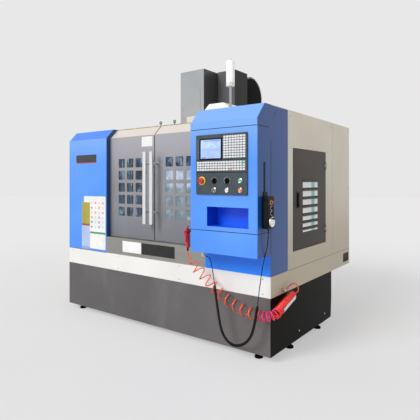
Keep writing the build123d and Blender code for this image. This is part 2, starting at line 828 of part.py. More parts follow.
def door_switch():
    """The door switch's box on the roof, with its round knob to the front."""
    y0 = ROOF_FRONT
    box = block(*SWITCH_X, y0, y0 + SWITCH_DEPTH, LEFT_ROOF, LEFT_ROOF + SWITCH_HEIGHT)
    box = fillet(box.edges().filter_by(Axis.Y), 5)
    knob_x = SWITCH_X[1] - 1.6 * SWITCH_KNOB_RADIUS
    knob_z = LEFT_ROOF + SWITCH_HEIGHT / 2
    knob = rod((knob_x, y0 - 6, knob_z), (0, 1, 0), SWITCH_KNOB_RADIUS, 7)
    return fused(box, knob)


def signal_tower():
    """A flanged pole with the lamp, whose lens has a few grooves between its rings."""
    foot = rod((LAMP_X, LAMP_Y, RIGHT_ROOF), (0, 0, 1), LAMP_FLANGE_RADIUS, LAMP_FLANGE)
    pole = rod((LAMP_X, LAMP_Y, RIGHT_ROOF), (0, 0, 1), POLE_RADIUS, POLE_HEIGHT)
    base = RIGHT_ROOF + POLE_HEIGHT
    lamp = rod((LAMP_X, LAMP_Y, base), (0, 0, 1), LAMP_RADIUS, LAMP_HEIGHT)
    lamp = fillet(lamp.faces().sort_by(Axis.Z)[-1].edges(), LAMP_RADIUS / 3)
    for i in range(1, LAMP_RINGS + 1):
        z = base + LAMP_HEIGHT * i / (LAMP_RINGS + 1)
        outer = rod((LAMP_X, LAMP_Y, z), (0, 0, 1), LAMP_RADIUS + 1, LAMP_GROOVE)
        inner = rod((LAMP_X, LAMP_Y, z), (0, 0, 1), LAMP_RADIUS - 1.5, LAMP_GROOVE)
        lamp -= outer - inner
    return fused(foot, pole, lamp)


# Work area


def chip_tray():
    """A V-shaped tray that falls to the middle, open round the saddle's ways."""
    path = [
        (SHEET, TRAY_LEFT_RIM),
        (TRAY_FLAT[0], PEDESTAL_TOP + SHEET),
        (TRAY_FLAT[1], PEDESTAL_TOP + SHEET),
        (SPLASH_WALL_X, TRAY_RIGHT_RIM),
    ]
    tray = front_prism(folded(path, SHEET), TRAY_FRONT, LINER_FACE)
    foot = PEDESTAL_TOP - 1
    rim = max(TRAY_LEFT_RIM, TRAY_RIGHT_RIM)
    tray &= block(SHEET, SPLASH_WALL_X, TRAY_FRONT, LINER_FACE, foot, rim)
    return tray - block(*TRAY_SLOT, TRAY_SLOT_FRONT, LINER_FACE + 1, foot, rim)


def rear_liner():
    """The splash wall in front of the column, with the slot that the head rides in."""
    foot = PEDESTAL_TOP + SHEET
    top = LEFT_ROOF - SHEET
    wall = block(SHEET, SPLASH_WALL_X, LINER_FACE, LINER_FACE + SHEET, foot, top)
    slot = block(*LINER_SLOT, LINER_FACE - 1, LINER_FACE + SHEET + 1, LINER_SILL, top + 1)
    notch = BEARING_WIDTH / 2 + 10
    across = (SPINDLE_X - notch, SPINDLE_X + notch)
    wall -= block(*across, LINER_FACE - 1, LINER_FACE + 9, foot - 1, SADDLE_BOTTOM + 9)
    return wall - slot


def door_sill():
    path = [(0, BAND_TOP), (0, SILL_TOP), (SILL_LEDGE, SILL_TOP)]
    return side_prism(folded(path, SHEET), LEFT_BAY, OPENING_RIGHT)


def door_rails():
    """Two square bars that both doors run on, from side to side."""
    half = RAIL_SIZE / 2
    rails = []
    for y, z in ((UPPER_RAIL_Y, UPPER_RAIL_Z), (LOWER_RAIL_Y, LOWER_RAIL_Z)):
        rails.append(block(SHEET, INNER_RIGHT, y - half, y + half, z - half, z + half))
    return rails


# Doors


def door_edges(side):
    """A door's left and right edges, for side -1 or 1."""
    if side < 0:
        return LEFT_BAY - DOOR_OVERLAP, DOOR_SEAM - DOOR_SEAM_GAP / 2
    return DOOR_SEAM + DOOR_SEAM_GAP / 2, OPENING_RIGHT + DOOR_OVERLAP


def window_columns(side):
    """How many columns of windows fit between a door's seam and its outer edge."""
    x0, x1 = door_edges(side)
    free = x1 - x0 - WINDOW_FROM_SEAM[side] - WINDOW_FROM_EDGE
    return 1 + int((free - WINDOW_WIDTH) // WINDOW_PITCH_X)


def window_span(side):
    """Where a door's grid of windows begins and ends, counted from the seam."""
    width = (window_columns(side) - 1) * WINDOW_PITCH_X + WINDOW_WIDTH
    near = DOOR_SEAM + side * WINDOW_FROM_SEAM[side]
    return min(near, near + side * width), max(near, near + side * width)


def window_holes(side):
    """The grid of windows in one door."""
    holes = []
    x0 = window_span(side)[0]
    for i in range(window_columns(side)):
        for j in range(WINDOW_ROWS):
            x = x0 + i * WINDOW_PITCH_X + WINDOW_WIDTH / 2
            z = WINDOW_TOP - j * WINDOW_PITCH_Z - WINDOW_HEIGHT / 2
            face = RectangleRounded(WINDOW_WIDTH, WINDOW_HEIGHT, WINDOW_CORNER)
            holes.append(Plane((x, DOOR_PLANE - 1, z), x_dir=(1, 0, 0), z_dir=(0, 1, 0)) * face)
    return extrude(Sketch() + holes, amount=SHEET + 2)


def shoe(x, y, z, y0, y1, z0, z1):
    """A slide shoe round a rail, reaching to the door's sheet."""
    half = RAIL_SIZE / 2 + RAIL_FIT
    body = block(x, x + SHOE_LENGTH, y0, y1, z0, z1)
    return body - block(x - 1, x + SHOE_LENGTH + 1, y - half, y + half, z - half, z + half)


def door(side):
    """A folded door skin with its windows, its edge returns and four slide shoes."""
    x0, x1 = door_edges(side)
    path = door_path(DOOR_BOTTOM)
    skin = side_prism(folded(path, SHEET), x0, x1)
    skin -= window_holes(side)
    edge = folded(path, DOOR_RETURN)
    body = fused(
        skin,
        side_prism(edge, x0, x0 + SHEET),
        side_prism(edge, x1 - SHEET, x1),
        block(x0, x1, DOOR_PLANE, DOOR_PLANE + DOOR_RETURN, DOOR_BOTTOM, DOOR_BOTTOM + SHEET),
    )
    reach = RAIL_SIZE / 2 + SHOE_WALL
    for x in (x0 + SHOE_INSET, x1 - SHOE_INSET - SHOE_LENGTH):
        y, z = UPPER_RAIL_Y, UPPER_RAIL_Z
        body += shoe(x, y, z, DOOR_PLANE + SHEET, y + reach, z - reach, z + reach)
        y, z = LOWER_RAIL_Y, LOWER_RAIL_Z
        body += shoe(x, y, z, y - reach, y + reach, z - reach, DOOR_BOTTOM)
    return body


def door_window(side):
    """One pane behind all of a door's windows."""
    x0, x1 = window_span(side)
    height = (WINDOW_ROWS - 1) * WINDOW_PITCH_Z + WINDOW_HEIGHT
    y0 = DOOR_PLANE + SHEET
    margin = PANE_MARGIN
    foot = WINDOW_TOP - height - margin
    return block(x0 - margin, x1 + margin, y0, y0 + PANE_THICKNESS, foot, WINDOW_TOP + margin)


def door_handle(side):
    """An upright bar on two round posts."""
    x = DOOR_SEAM + side * HANDLE_FROM_SEAM
    half = HANDLE_WIDTH / 2
    back = DOOR_PLANE - HANDLE_STANDOFF
    bar = block(x - half, x + half, back - HANDLE_DEPTH, back, HANDLE_BOTTOM, HANDLE_TOP)
    bar = fillet(bar.edges().filter_by(Axis.Z), HANDLE_DEPTH * 0.4)
    for z in (HANDLE_BOTTOM + HANDLE_POST_INSET, HANDLE_TOP - HANDLE_POST_INSET):
        bar += rod((x, back - 1, z), (0, 1, 0), HANDLE_POST_RADIUS, HANDLE_STANDOFF + 1)
    return bar


# Control cabinet


def control_path():
    return [
        (-CONTROL_DEPTH, HOOD_SEAM),
        (-CONTROL_DEPTH, CONTROL_KNEE),
        (-CONTROL_DEPTH + CONTROL_SLOPE_RUN, RIGHT_ROOF),
        (0, RIGHT_ROOF),
    ]


def control_cabinet():
    """A folded box open to the wall behind it, with a storage pocket and a hook for the air gun."""
    left, right = OPENING_RIGHT, MACHINE_WIDTH
    front = -CONTROL_DEPTH
    outer = block(left, right, front, 0, CONTROL_BOTTOM, HOOD_SEAM)
    uprights = outer.edges().filter_by(Axis.Z).sort_by(Axis.Y)[:2]
    outer = fillet(uprights, CONTROL_CORNER)
    inner = block(left + SHEET, right - SHEET, front + SHEET, 1, CONTROL_BOTTOM + SHEET, HOOD_SEAM + 1)
    uprights = inner.edges().filter_by(Axis.Z).sort_by(Axis.Y)[:2]
    shell = outer - fillet(uprights, CONTROL_CORNER - SHEET)
    x0, x1, z0, z1 = POCKET_BOX
    wall = SHEET
    depth = front + POCKET_DEPTH
    shell += block(x0 - wall, x1 + wall, front + wall, depth + wall, z0 - wall, z1 + wall)
    shell -= block(x0, x1, front - 1, depth, z0, z1)
    x0, x1, z0, z1 = PANEL_BOX
    lap = PANEL_LAP
    shell -= block(x0 + lap, x1 - lap, front - 1, front + SHEET + 1, z0 + lap, z1 - lap)
    half = CABLE_SLOT_WIDTH / 2
    shell -= block(right - SHEET - 1, right + 1, CABLE_SLOT_Y - half, CABLE_SLOT_Y + half, *CABLE_SLOT_Z)
    seam = (CONTROL_SEAM - SEAM_WIDTH / 2, CONTROL_SEAM + SEAM_WIDTH / 2)
    shell -= block(left - 1, right + 1, front - 1, front + SEAM_DEPTH, *seam)
    shell -= block(right - SEAM_DEPTH, right + 1, front, 1, *seam)
    shell -= block(left - 1, left + SEAM_DEPTH, front, 1, *seam)
    peg_end = GUN_X - GUN_THICKNESS / 2
    peg_z = GUN_RING_Z + GUN_RING_HOLE - PEG_RADIUS - HOSE_GAP
    shell += rod((peg_end, GUN_Y, peg_z), (1, 0, 0), PEG_RADIUS, left - peg_end + 1)
    return shell


def control_hood():
    """The sloped top of the control cabinet."""
    path = control_path()
    cheek = path + [(0, HOOD_SEAM)]
    return fused(
        side_prism(folded(path, SHEET), OPENING_RIGHT, MACHINE_WIDTH),
        side_prism(cheek, OPENING_RIGHT, OPENING_RIGHT + SHEET),
        side_prism(cheek, INNER_RIGHT, MACHINE_WIDTH),
    )


def keys(box, grid):
    """A field of raised keys that fills a box on the panel's face."""
    x0, x1, z0, z1 = box
    across, down = grid
    width = (x1 - x0 + KEY_GAP) / across - KEY_GAP
    height = (z1 - z0 + KEY_GAP) / down - KEY_GAP
    pads = []
    for i in range(across):
        for j in range(down):
            x = x0 + i * (width + KEY_GAP)
            z = z0 + j * (height + KEY_GAP)
            pads.append(block(x, x + width, PANEL_FACE - KEY_RAISE, PANEL_FACE, z, z + height))
    return pads


def push_places():
    """The three push buttons by name, in X and Z."""
    return {
        "cycle_start_button": (COLUMN_THREE_X, ROW_HIGH),
        "program_stop_button": (COLUMN_TWO_X, ROW_LOW),
        "feed_hold_button": (COLUMN_THREE_X, ROW_LOW),
    }


def turn_places():
    """The two selector switches and the key switch by name, in X and Z."""
    return {
        "mode_selector": (COLUMN_ONE_X, ROW_HIGH),
        "feed_selector": (COLUMN_TWO_X, ROW_HIGH),
        "key_switch": (COLUMN_ONE_X, ROW_LOW),
    }


def inward(x, z, y, radius, length):
    """A round bar that points into the panel."""
    return rod((x, y, z), (0, 1, 0), radius, length)


def control_panel():
    """The operator panel with its keys, its screen recess and the seats of its controls."""
    x0, x1, z0, z1 = PANEL_BOX
    panel = block(x0, x1, PANEL_FACE, -CONTROL_DEPTH, z0, z1)
    panel = fillet(panel.edges().filter_by(Axis.Y), PANEL_CORNER)
    sx0, sx1, sz0, sz1 = SCREEN_BOX
    panel -= block(sx0, sx1, PANEL_FACE - 1, PANEL_FACE + SCREEN_RECESS, sz0, sz1)
    half = DIVIDER_WIDTH / 2
    divider = (PANEL_DIVIDER - half, PANEL_DIVIDER + half)
    panel -= block(x0 - 1, x1 + 1, PANEL_FACE - 1, PANEL_FACE + SEAM_DEPTH, *divider)
    fields = [(MDI_BOX, MDI_GRID), (SIDE_KEY_BOX, SIDE_KEY_GRID), (MACHINE_KEY_BOX, MACHINE_KEY_GRID)]
    for box, grid in fields:
        panel = panel + keys(box, grid)
    through = PANEL_THICKNESS + STOP_PLATE + PUSH_RING_HEIGHT + 1
    stem_hole = STEM_RADIUS + STEM_FIT
    for x, z in push_places().values():
        top = PANEL_FACE - PUSH_RING_HEIGHT
        panel += inward(x, z, top, PUSH_RADIUS + PUSH_RING, PUSH_RING_HEIGHT)
        panel -= inward(x, z, top, PUSH_RADIUS + STEM_FIT, PUSH_BODY)
        panel -= inward(x, z, top, stem_hole, through)
    for x, z in turn_places().values():
        panel -= inward(x, z, PANEL_FACE - 1, stem_hole, through)
    panel += inward(STOP_X, ROW_HIGH, PANEL_FACE - STOP_PLATE, STOP_PLATE_RADIUS, STOP_PLATE)
    panel -= inward(STOP_X, ROW_HIGH, PANEL_FACE - STOP_PLATE - 1, stem_hole, through)
    return panel


def screen():
    x0, x1, z0, z1 = SCREEN_BOX
    fit = SCREEN_FIT
    floor = PANEL_FACE + SCREEN_RECESS
    return block(x0 + fit, x1 - fit, floor - SCREEN_THICKNESS, floor, z0 + fit, z1 - fit)


def stem_end():
    return -CONTROL_DEPTH + STEM_BEYOND


def push_button(x, z):
    """A flat cap in its ring, with a stem through the panel."""
    face = PANEL_FACE - PUSH_RING_HEIGHT - PUSH_STAND
    body = PUSH_BODY + PUSH_STAND - PUSH_TRAVEL - 1
    cap = inward(x, z, face, PUSH_RADIUS, body)
    cap = chamfer(cap.faces().sort_by(Axis.Y)[0].edges(), 1)
    stem = inward(x, z, face + 1, STEM_RADIUS, stem_end() - face - 1)
    return fused(cap, stem)


def emergency_stop():
    """A mushroom head on a stem."""
    back = PANEL_FACE - STOP_PLATE - STOP_GAP
    head = inward(STOP_X, ROW_HIGH, back - STOP_HEAD, STOP_RADIUS, STOP_HEAD)
    head = fillet(head.faces().sort_by(Axis.Y)[0].edges(), STOP_HEAD / 2)
    stem = inward(STOP_X, ROW_HIGH, back - 1, STEM_RADIUS, stem_end() - back + 1)
    return fused(head, stem)


def selector(x, z):
    """A round knob with a raised grip bar."""
    back = PANEL_FACE - RAIL_FIT
    knob = inward(x, z, back - SELECTOR_BODY, SELECTOR_RADIUS, SELECTOR_BODY)
    width, height, out = SELECTOR_GRIP
    top = back - SELECTOR_BODY
    grip = block(x - width / 2, x + width / 2, top - out, top, z - height / 2, z + height / 2)
    grip = fillet(grip.edges().filter_by(Axis.Y), width * 0.4)
    stem = inward(x, z, back - 1, STEM_RADIUS, stem_end() - back + 1)
    return fused(knob, grip, stem)


def key_switch(x, z):
    """A barrel with its key in it."""
    back = PANEL_FACE - RAIL_FIT
    barrel = inward(x, z, back - SELECTOR_BODY, KEY_BARREL_RADIUS, SELECTOR_BODY)
    width, height, out = KEY_BOW
    top = back - SELECTOR_BODY
    bow = block(x - width / 2, x + width / 2, top - out, top, z - height / 2, z + height / 2)
    stem = inward(x, z, back - 1, STEM_RADIUS, stem_end() - back + 1)
    return fused(barrel, bow, stem)


# Hand pendant


def outward(z, x, radius, length):
    """A round bar on the pendant's middle line that points away from the machine."""
    return rod((x, PENDANT_MID_Y, z), (1, 0, 0), radius, length)


def pendant_case():
    """The pendant's case with its hook, its cable gland and the bores of its controls."""
    case = block(PENDANT_BACK, PENDANT_FACE, *PENDANT_Y, *PENDANT_Z)
    case = fillet(case.edges().filter_by(Axis.X), PENDANT_CORNER)
    inset = PENDANT_HOOK_INSET
    hook_y = (PENDANT_Y[0] + inset, PENDANT_Y[1] - inset)
    case += block(MACHINE_WIDTH, PENDANT_BACK, *hook_y, *PENDANT_HOOK_Z)
    middle = PENDANT_BACK + PENDANT_DEPTH / 2
    case += rod((middle, PENDANT_MID_Y, PENDANT_Z[0] - GLAND_LENGTH), (0, 0, 1), GLAND_RADIUS, GLAND_LENGTH)
    bore = STEM_RADIUS + STEM_FIT
    for z in (PENDANT_STOP_Z, WHEEL_Z) + PENDANT_KNOBS_Z:
        case -= outward(z, PENDANT_FACE - PENDANT_BORE - STEM_BEYOND, bore, 20)
    return case


def pendant_control(z, gap, radius, height, reach):
    """A round control on a stem in the pendant's face."""
    cap = outward(z, PENDANT_FACE + gap, radius, height)
    stem = outward(z, PENDANT_FACE - reach, STEM_RADIUS, reach + gap + 1)
    return fused(cap, stem)


def pendant_stop():
    radius, height = PENDANT_STOP_RADIUS, PENDANT_STOP_HEAD
    cap = pendant_control(PENDANT_STOP_Z, PENDANT_STOP_GAP, radius, height, PENDANT_BORE)
    return fillet(cap.faces().sort_by(Axis.X)[-1].edges(), height / 3)


def pendant_knob(z):
    """A knob with a flat on it as its pointer."""
    radius, height = PENDANT_KNOB_RADIUS, PENDANT_KNOB_HEIGHT
    knob = pendant_control(z, RAIL_FIT, radius, height, PENDANT_BORE)
    top = PENDANT_FACE + height + 1
    low = PENDANT_FACE + 5
    y = PENDANT_MID_Y
    for side in (-1, 1):
        inner = y + side * radius * 0.45
        outer = y + side * (radius + 1)
        knob -= block(low, top, min(inner, outer), max(inner, outer), z - radius - 1, z + radius + 1)
    return knob


def pendant_handwheel():
    """A pulse wheel with a dished face, a knurled rim and a crank knob."""
    wheel = pendant_control(WHEEL_Z, WHEEL_GAP, WHEEL_RADIUS, WHEEL_THICKNESS, PENDANT_BORE)
    face = PENDANT_FACE + WHEEL_GAP + WHEEL_THICKNESS
    wheel -= outward(WHEEL_Z, face - 2, WHEEL_RADIUS - 4, 3)
    crank = (face - 4, PENDANT_MID_Y, WHEEL_Z + CRANK_OFFSET)
    return fused(wheel, rod(crank, (1, 0, 0), CRANK_RADIUS, CRANK_LENGTH + 2))


def cable_connector():
    """A round socket under the control cabinet with an elbow for the pendant's cable."""
    foot = CONNECTOR_Z - ELBOW_RADIUS
    socket = rod((CONNECTOR_X, CONNECTOR_Y, foot), (0, 0, 1), CONNECTOR_RADIUS, CONTROL_BOTTOM - foot)
    elbow = rod((CONNECTOR_X, CONNECTOR_Y, CONNECTOR_Z), (1, 0, 0), ELBOW_RADIUS, ELBOW_LENGTH)
    return fused(socket, elbow)


# Air supply


def air_fitting():
    """A hexagon union on the side with a nose that the hose's end meets."""
    start = Plane(origin=(MACHINE_WIDTH, FITTING_Y, FITTING_Z), z_dir=(1, 0, 0))
    union = start * extrude(hexagon(2 * FITTING_RADIUS), amount=FITTING_OUT + FITTING_RADIUS)
    outlet = (MACHINE_WIDTH + FITTING_OUT, FITTING_Y, FITTING_Z)
    nose = rod(outlet, (0, 1, 0), FITTING_RADIUS * 0.8, FITTING_NOSE)
    return fused(union, nose)


def air_gun():
    """Handle, barrel, nozzle and hanging ring of the air gun."""
    half = GUN_THICKNESS / 2
    width, height = GUN_HANDLE
    y0 = GUN_Y - width / 2
    y1 = GUN_Y + width / 2
    handle = block(GUN_X - half, GUN_X + half, y0, y1, GUN_BOTTOM, GUN_BOTTOM + height + 12)
    handle = fillet(handle.edges().filter_by(Axis.Z), half * 0.7)
    barrel_start = (GUN_X, GUN_BARREL[0], GUN_BARREL_Z)
    barrel = rod(barrel_start, (0, 1, 0), GUN_BARREL_RADIUS, GUN_BARREL[1] - GUN_BARREL[0])
    nozzle_start = (GUN_X, GUN_BARREL[0] - GUN_NOZZLE_LENGTH, GUN_BARREL_Z)
    nozzle = rod(nozzle_start, (0, 1, 0), GUN_NOZZLE_RADIUS, GUN_NOZZLE_LENGTH + 1)
    ring_start = (GUN_X - half / 2, GUN_Y, GUN_RING_Z)
    ring = rod(ring_start, (1, 0, 0), GUN_RING_RADIUS, half)
    gun = fused(handle, barrel, nozzle, ring)
    gun -= rod((GUN_X - half, GUN_Y, GUN_RING_Z), (1, 0, 0), GUN_RING_HOLE, GUN_THICKNESS)
    y, z = trigger_pivot()
    ear = block(GUN_X - half, GUN_X + half, y - 4, y0 + 2, z - 4, z + 8)
    slot = TRIGGER_WIDTH / 2 + RAIL_FIT
    ear -= block(GUN_X - slot, GUN_X + slot, y - 5, y0 + 1, z - 20, z + 4)
    pin = rod((GUN_X - half, y, z), (1, 0, 0), TRIGGER_PIN_RADIUS, GUN_THICKNESS)
    return fused(gun, ear, pin)


def trigger_pivot():
    """The trigger's pin, in Y and Z."""
    return GUN_Y - GUN_HANDLE[0] / 2 - TRIGGER_GAP, GUN_BARREL_Z - GUN_BARREL_RADIUS - 6


def air_gun_trigger():
    """A lever that hangs from its pin in front of the handle."""
    y, z = trigger_pivot()
    half = TRIGGER_WIDTH / 2
    thick = TRIGGER_THICKNESS / 2
    lever = block(GUN_X - half, GUN_X + half, y - thick, y + thick, z - TRIGGER_LENGTH, z)
    boss = rod((GUN_X - half, y, z), (1, 0, 0), 3.5, TRIGGER_WIDTH)
    bore = rod((GUN_X - half - 1, y, z), (1, 0, 0), TRIGGER_PIN_RADIUS + HINGE_PIN_FIT, TRIGGER_WIDTH + 2)
    return fused(lever, boss) - bore


# Electrical cabinet


def electrical_box():
    """The cabinet behind the right side, whose back is the work area's splash wall."""
    y0, y1, z0, z1 = cabinet_hole(CABINET_BOX_MARGIN)
    wall_outline = [
        (TRAY_FRONT, PEDESTAL_TOP + SHEET),
        (LINER_FACE + SHEET, PEDESTAL_TOP + SHEET),
        (LINER_FACE + SHEET, RIGHT_ROOF - SHEET),
        (SPLASH_NOTCH_Y, RIGHT_ROOF - SHEET),
        (SPLASH_NOTCH_Y, SPLASH_NOTCH_Z),
        (TRAY_FRONT, SPLASH_NOTCH_Z),
    ]
    back = SPLASH_WALL_X + SHEET
    wall = side_prism(wall_outline, SPLASH_WALL_X, back)
    box = block(back, INNER_RIGHT, y0, y1, z0, z1)
    box -= block(back, INNER_RIGHT + 1, y0 + SHEET, y1 - SHEET, z0 + SHEET, z1 - SHEET)
    return fused(wall, box)


def mounting_plate():
    """The plate at the back of the cabinet with drives, a row of relays and a terminal strip."""
    y0, y1, z0, z1 = cabinet_hole(0)
    back = SPLASH_WALL_X + SHEET
    face = back + PLATE_THICKNESS
    plate = block(back, face, y0, y1, z0, z1)
    out, wide, tall = DRIVE_SIZE
    top = z1 - PLATE_EDGE
    for i in range(DRIVE_COUNT):
        y = y0 + PLATE_EDGE + i * (wide + DRIVE_GAP)
        plate += block(face, face + out, y, y + wide, top - tall, top)
    top -= tall + RELAYS_BELOW_DRIVES
    out, wide, tall = RELAY_SIZE
    for i in range(RELAY_COUNT):
        y = y0 + PLATE_EDGE + i * (wide + RELAY_GAP)
        plate += block(face, face + out, y, y + wide, top - tall, top)
    out, long, tall = TERMINAL_SIZE
    y, z = y0 + PLATE_EDGE, z0 + TERMINAL_LIFT
    plate += block(face, face + out, y, y + long, z, z + tall)
    return plate


def cabinet_door():
    """A door skin with folded edges, a field of louvres, a latch plate and its hinge knuckles."""
    y0, y1 = CABINET_DOOR_Y
    z0, z1 = CABINET_DOOR_Z
    inside = INNER_RIGHT - CABINET_RETURN
    door_body = block(inside, MACHINE_WIDTH, y0, y1, z0, z1)
    door_body -= block(inside - 1, INNER_RIGHT, y0 + SHEET, y1 - SHEET, z0 + SHEET, z1 - SHEET)
    floor = MACHINE_WIDTH - LOUVRE_DEPTH
    for i in range(LOUVRE_COUNT):
        z = LOUVRE_Z + i * LOUVRE_PITCH
        door_body -= block(floor, MACHINE_WIDTH + 1, *LOUVRE_Y, z, z + LOUVRE_HEIGHT)
    x, y = hinge_axis()
    for z in HINGE_Z:
        low = z - HINGE_MIDDLE
        high = z + HINGE_MIDDLE
        leaf = (MACHINE_WIDTH, MACHINE_WIDTH + HINGE_LEAF)
        door_body += block(*leaf, y1 - HINGE_LEAF_WIDTH, y1, low, high)
        door_body += block(MACHINE_WIDTH, x, y1 - 3, y, low, high)
        door_body += rod((x, y, low), (0, 0, 1), HINGE_KNUCKLE, high - low)
        door_body -= rod((x, y, low - 1), (0, 0, 1), HINGE_PIN + HINGE_PIN_FIT, high - low + 2)
    plate_out = MACHINE_WIDTH + LATCH_PLATE_THICKNESS
    door_body += block(MACHINE_WIDTH, plate_out, *LATCH_PLATE)
    hole = LATCH_SHAFT_RADIUS + HINGE_PIN_FIT
    door_body -= rod((INNER_RIGHT - 1, LATCH_Y, LATCH_Z), (1, 0, 0), hole, 3 * SHEET)
    return door_body


def cabinet_latch():
    """The turning handle with its key barrel, its shaft and the tongue behind the door."""
    face = MACHINE_WIDTH + LATCH_PLATE_THICKNESS + RAIL_FIT
    wide, long, out = LATCH_ARM
    arm = block(face, face + out, LATCH_Y - wide / 2, LATCH_Y + wide / 2, LATCH_Z - long, LATCH_Z + wide / 2)
    arm = fillet(arm.edges().filter_by(Axis.X), wide * 0.3)
    wide, long, thick = LATCH_TONGUE
    inside = INNER_RIGHT - CABINET_RETURN - RAIL_FIT
    tongue = block(inside - thick, inside, LATCH_Y - wide / 2, LATCH_Y + wide / 2, LATCH_Z, LATCH_Z + long)
    shaft = rod((inside - thick, LATCH_Y, LATCH_Z), (1, 0, 0), LATCH_SHAFT_RADIUS, face - inside + thick + 1)
    barrel = rod((face, LATCH_Y, LATCH_KEY_Z), (1, 0, 0), LATCH_SHAFT_RADIUS, out + 3)
    return fused(arm, tongue, shaft, barrel)


# Column, head and table


def column():
    """The cast column with its rear windows, its ways, its screw and the magazine's lug."""
    body = block(*COLUMN_X, *COLUMN_Y, PEDESTAL_TOP, COLUMN_TOP)
    body = fillet(body.edges().filter_by(Axis.Z).sort_by(Axis.Y)[2:], 30)
    wall = COLUMN_WALL
    pitch = COLUMN_WINDOW + wall
    count = int((COLUMN_TOP - PEDESTAL_TOP - wall) // pitch)
    side = COLUMN_WINDOW / 2
    for i in range(count):
        z = PEDESTAL_TOP + wall + i * pitch
        for x in (SPINDLE_X - side - wall / 2, SPINDLE_X + side + wall / 2):
            half = side - wall / 2
            body -= block(x - half, x + half, COLUMN_Y[0] + wall, COLUMN_Y[1] + 1, z, z + COLUMN_WINDOW)
    for s in (-1, 1):
        x = SPINDLE_X + s * Z_RAIL_SPREAD
        half = Y_RAIL_WIDTH / 2
        body += block(x - half, x + half, COLUMN_Y[0] - Y_RAIL_HEIGHT, COLUMN_Y[0], Z_RAIL_FROM, Z_RAIL_TO)
    half = BEARING_WIDTH / 2
    for z in (Z_RAIL_FROM + BEARING_LENGTH, Z_RAIL_TO - BEARING_LENGTH):
        across = (SPINDLE_X - half, SPINDLE_X + half)
        body += block(*across, CARRIAGE_FACE + 12, COLUMN_Y[0], z, z + BEARING_LENGTH)
    screw = (SPINDLE_X, Z_SCREW_Y, Z_RAIL_FROM + BEARING_LENGTH)
    body += rod(screw, (0, 0, 1), SCREW_RADIUS, COLUMN_TOP - Z_RAIL_FROM - BEARING_LENGTH)
    half = Z_MOTOR_SIZE / 2
    across = (SPINDLE_X - half, SPINDLE_X + half, Z_SCREW_Y - half, Z_SCREW_Y + half)
    body += block(*across, COLUMN_TOP, COLUMN_TOP + Z_MOTOR_HEIGHT)
    lug_half = LUG_SIZE / 2
    lug_back = COLUMN_Y[0] + LUG_SIZE
    lug_heights = (DISC_Z - lug_half, DISC_Z + lug_half)
    body += block(COLUMN_X[1] - 1, COLUMN_X[1] + LUG_DEPTH, DISC_Y - lug_half, lug_back, *lug_heights)
    axle_end = DISC_X + DISC_PLATE + 6
    body += rod((COLUMN_X[1], DISC_Y, DISC_Z), (1, 0, 0), AXLE_RADIUS, axle_end - COLUMN_X[1])
    return body


def magazine_disc():
    """The disc with a ring of tool pots round its hub."""
    plate = rod((DISC_X, DISC_Y, DISC_Z), (1, 0, 0), DISC_RADIUS - POT_RADIUS / 2, DISC_PLATE)
    hub_from = COLUMN_X[1] + LUG_DEPTH + RAIL_FIT
    hub = rod((hub_from, DISC_Y, DISC_Z), (1, 0, 0), HUB_RADIUS, DISC_X + DISC_PLATE + 12 - hub_from)
    disc = fused(plate, hub)
    for i in range(POT_COUNT):
        angle = radians(360 * (i + 0.5) / POT_COUNT)
        y = DISC_Y + POT_CIRCLE * cos(angle)
        z = DISC_Z + POT_CIRCLE * sin(angle)
        start = DISC_X - (POT_LENGTH - DISC_PLATE) / 2
        pot = rod((start, y, z), (1, 0, 0), POT_RADIUS, POT_LENGTH)
        end = rod((start + POT_LENGTH, y, z), (1, 0, 0), POT_END_RADIUS, POT_END)
        disc = disc + pot + end
    through = DISC_X + DISC_PLATE + 8 - hub_from
    bore = rod((hub_from - 1, DISC_Y, DISC_Z), (1, 0, 0), AXLE_RADIUS + AXLE_FIT, through)
    return disc - bore


def magazine_housing():
    """The cover of the tool changer on the roof, open at the back where the disc turns into it."""
    x0, x1 = MAGAZINE_X
    y0, y1 = MAGAZINE_Y
    shell = block(x0, x1, y0, y1, LEFT_ROOF, MAGAZINE_TOP)
    return shell - block(x0 + SHEET, x1 - SHEET, y0 + SHEET, y1 + 1, LEFT_ROOF - 1, MAGAZINE_TOP - SHEET)


def head_cover():
    """The cover of the spindle motor, with a bolted hatch on its front."""
    x0, x1 = COVER_X
    shell = block(x0, x1, COVER_FRONT, COVER_BACK, COVER_BOTTOM, COVER_TOP)
    inside = (x0 + SHEET, x1 - SHEET, COVER_FRONT + SHEET, COVER_BACK + 1)
    shell -= block(*inside, COVER_BOTTOM - 1, COVER_TOP - SHEET)
    hx0, hx1, hz0, hz1 = COVER_HATCH
    bevel = COVER_HATCH_BEVEL
    hatch = [(hx0, hz0), (hx1, hz0), (hx1, hz1 - bevel), (hx1 - bevel, hz1), (hx0, hz1)]
    return shell + front_prism(hatch, COVER_FRONT - COVER_HATCH_RAISE, COVER_FRONT)


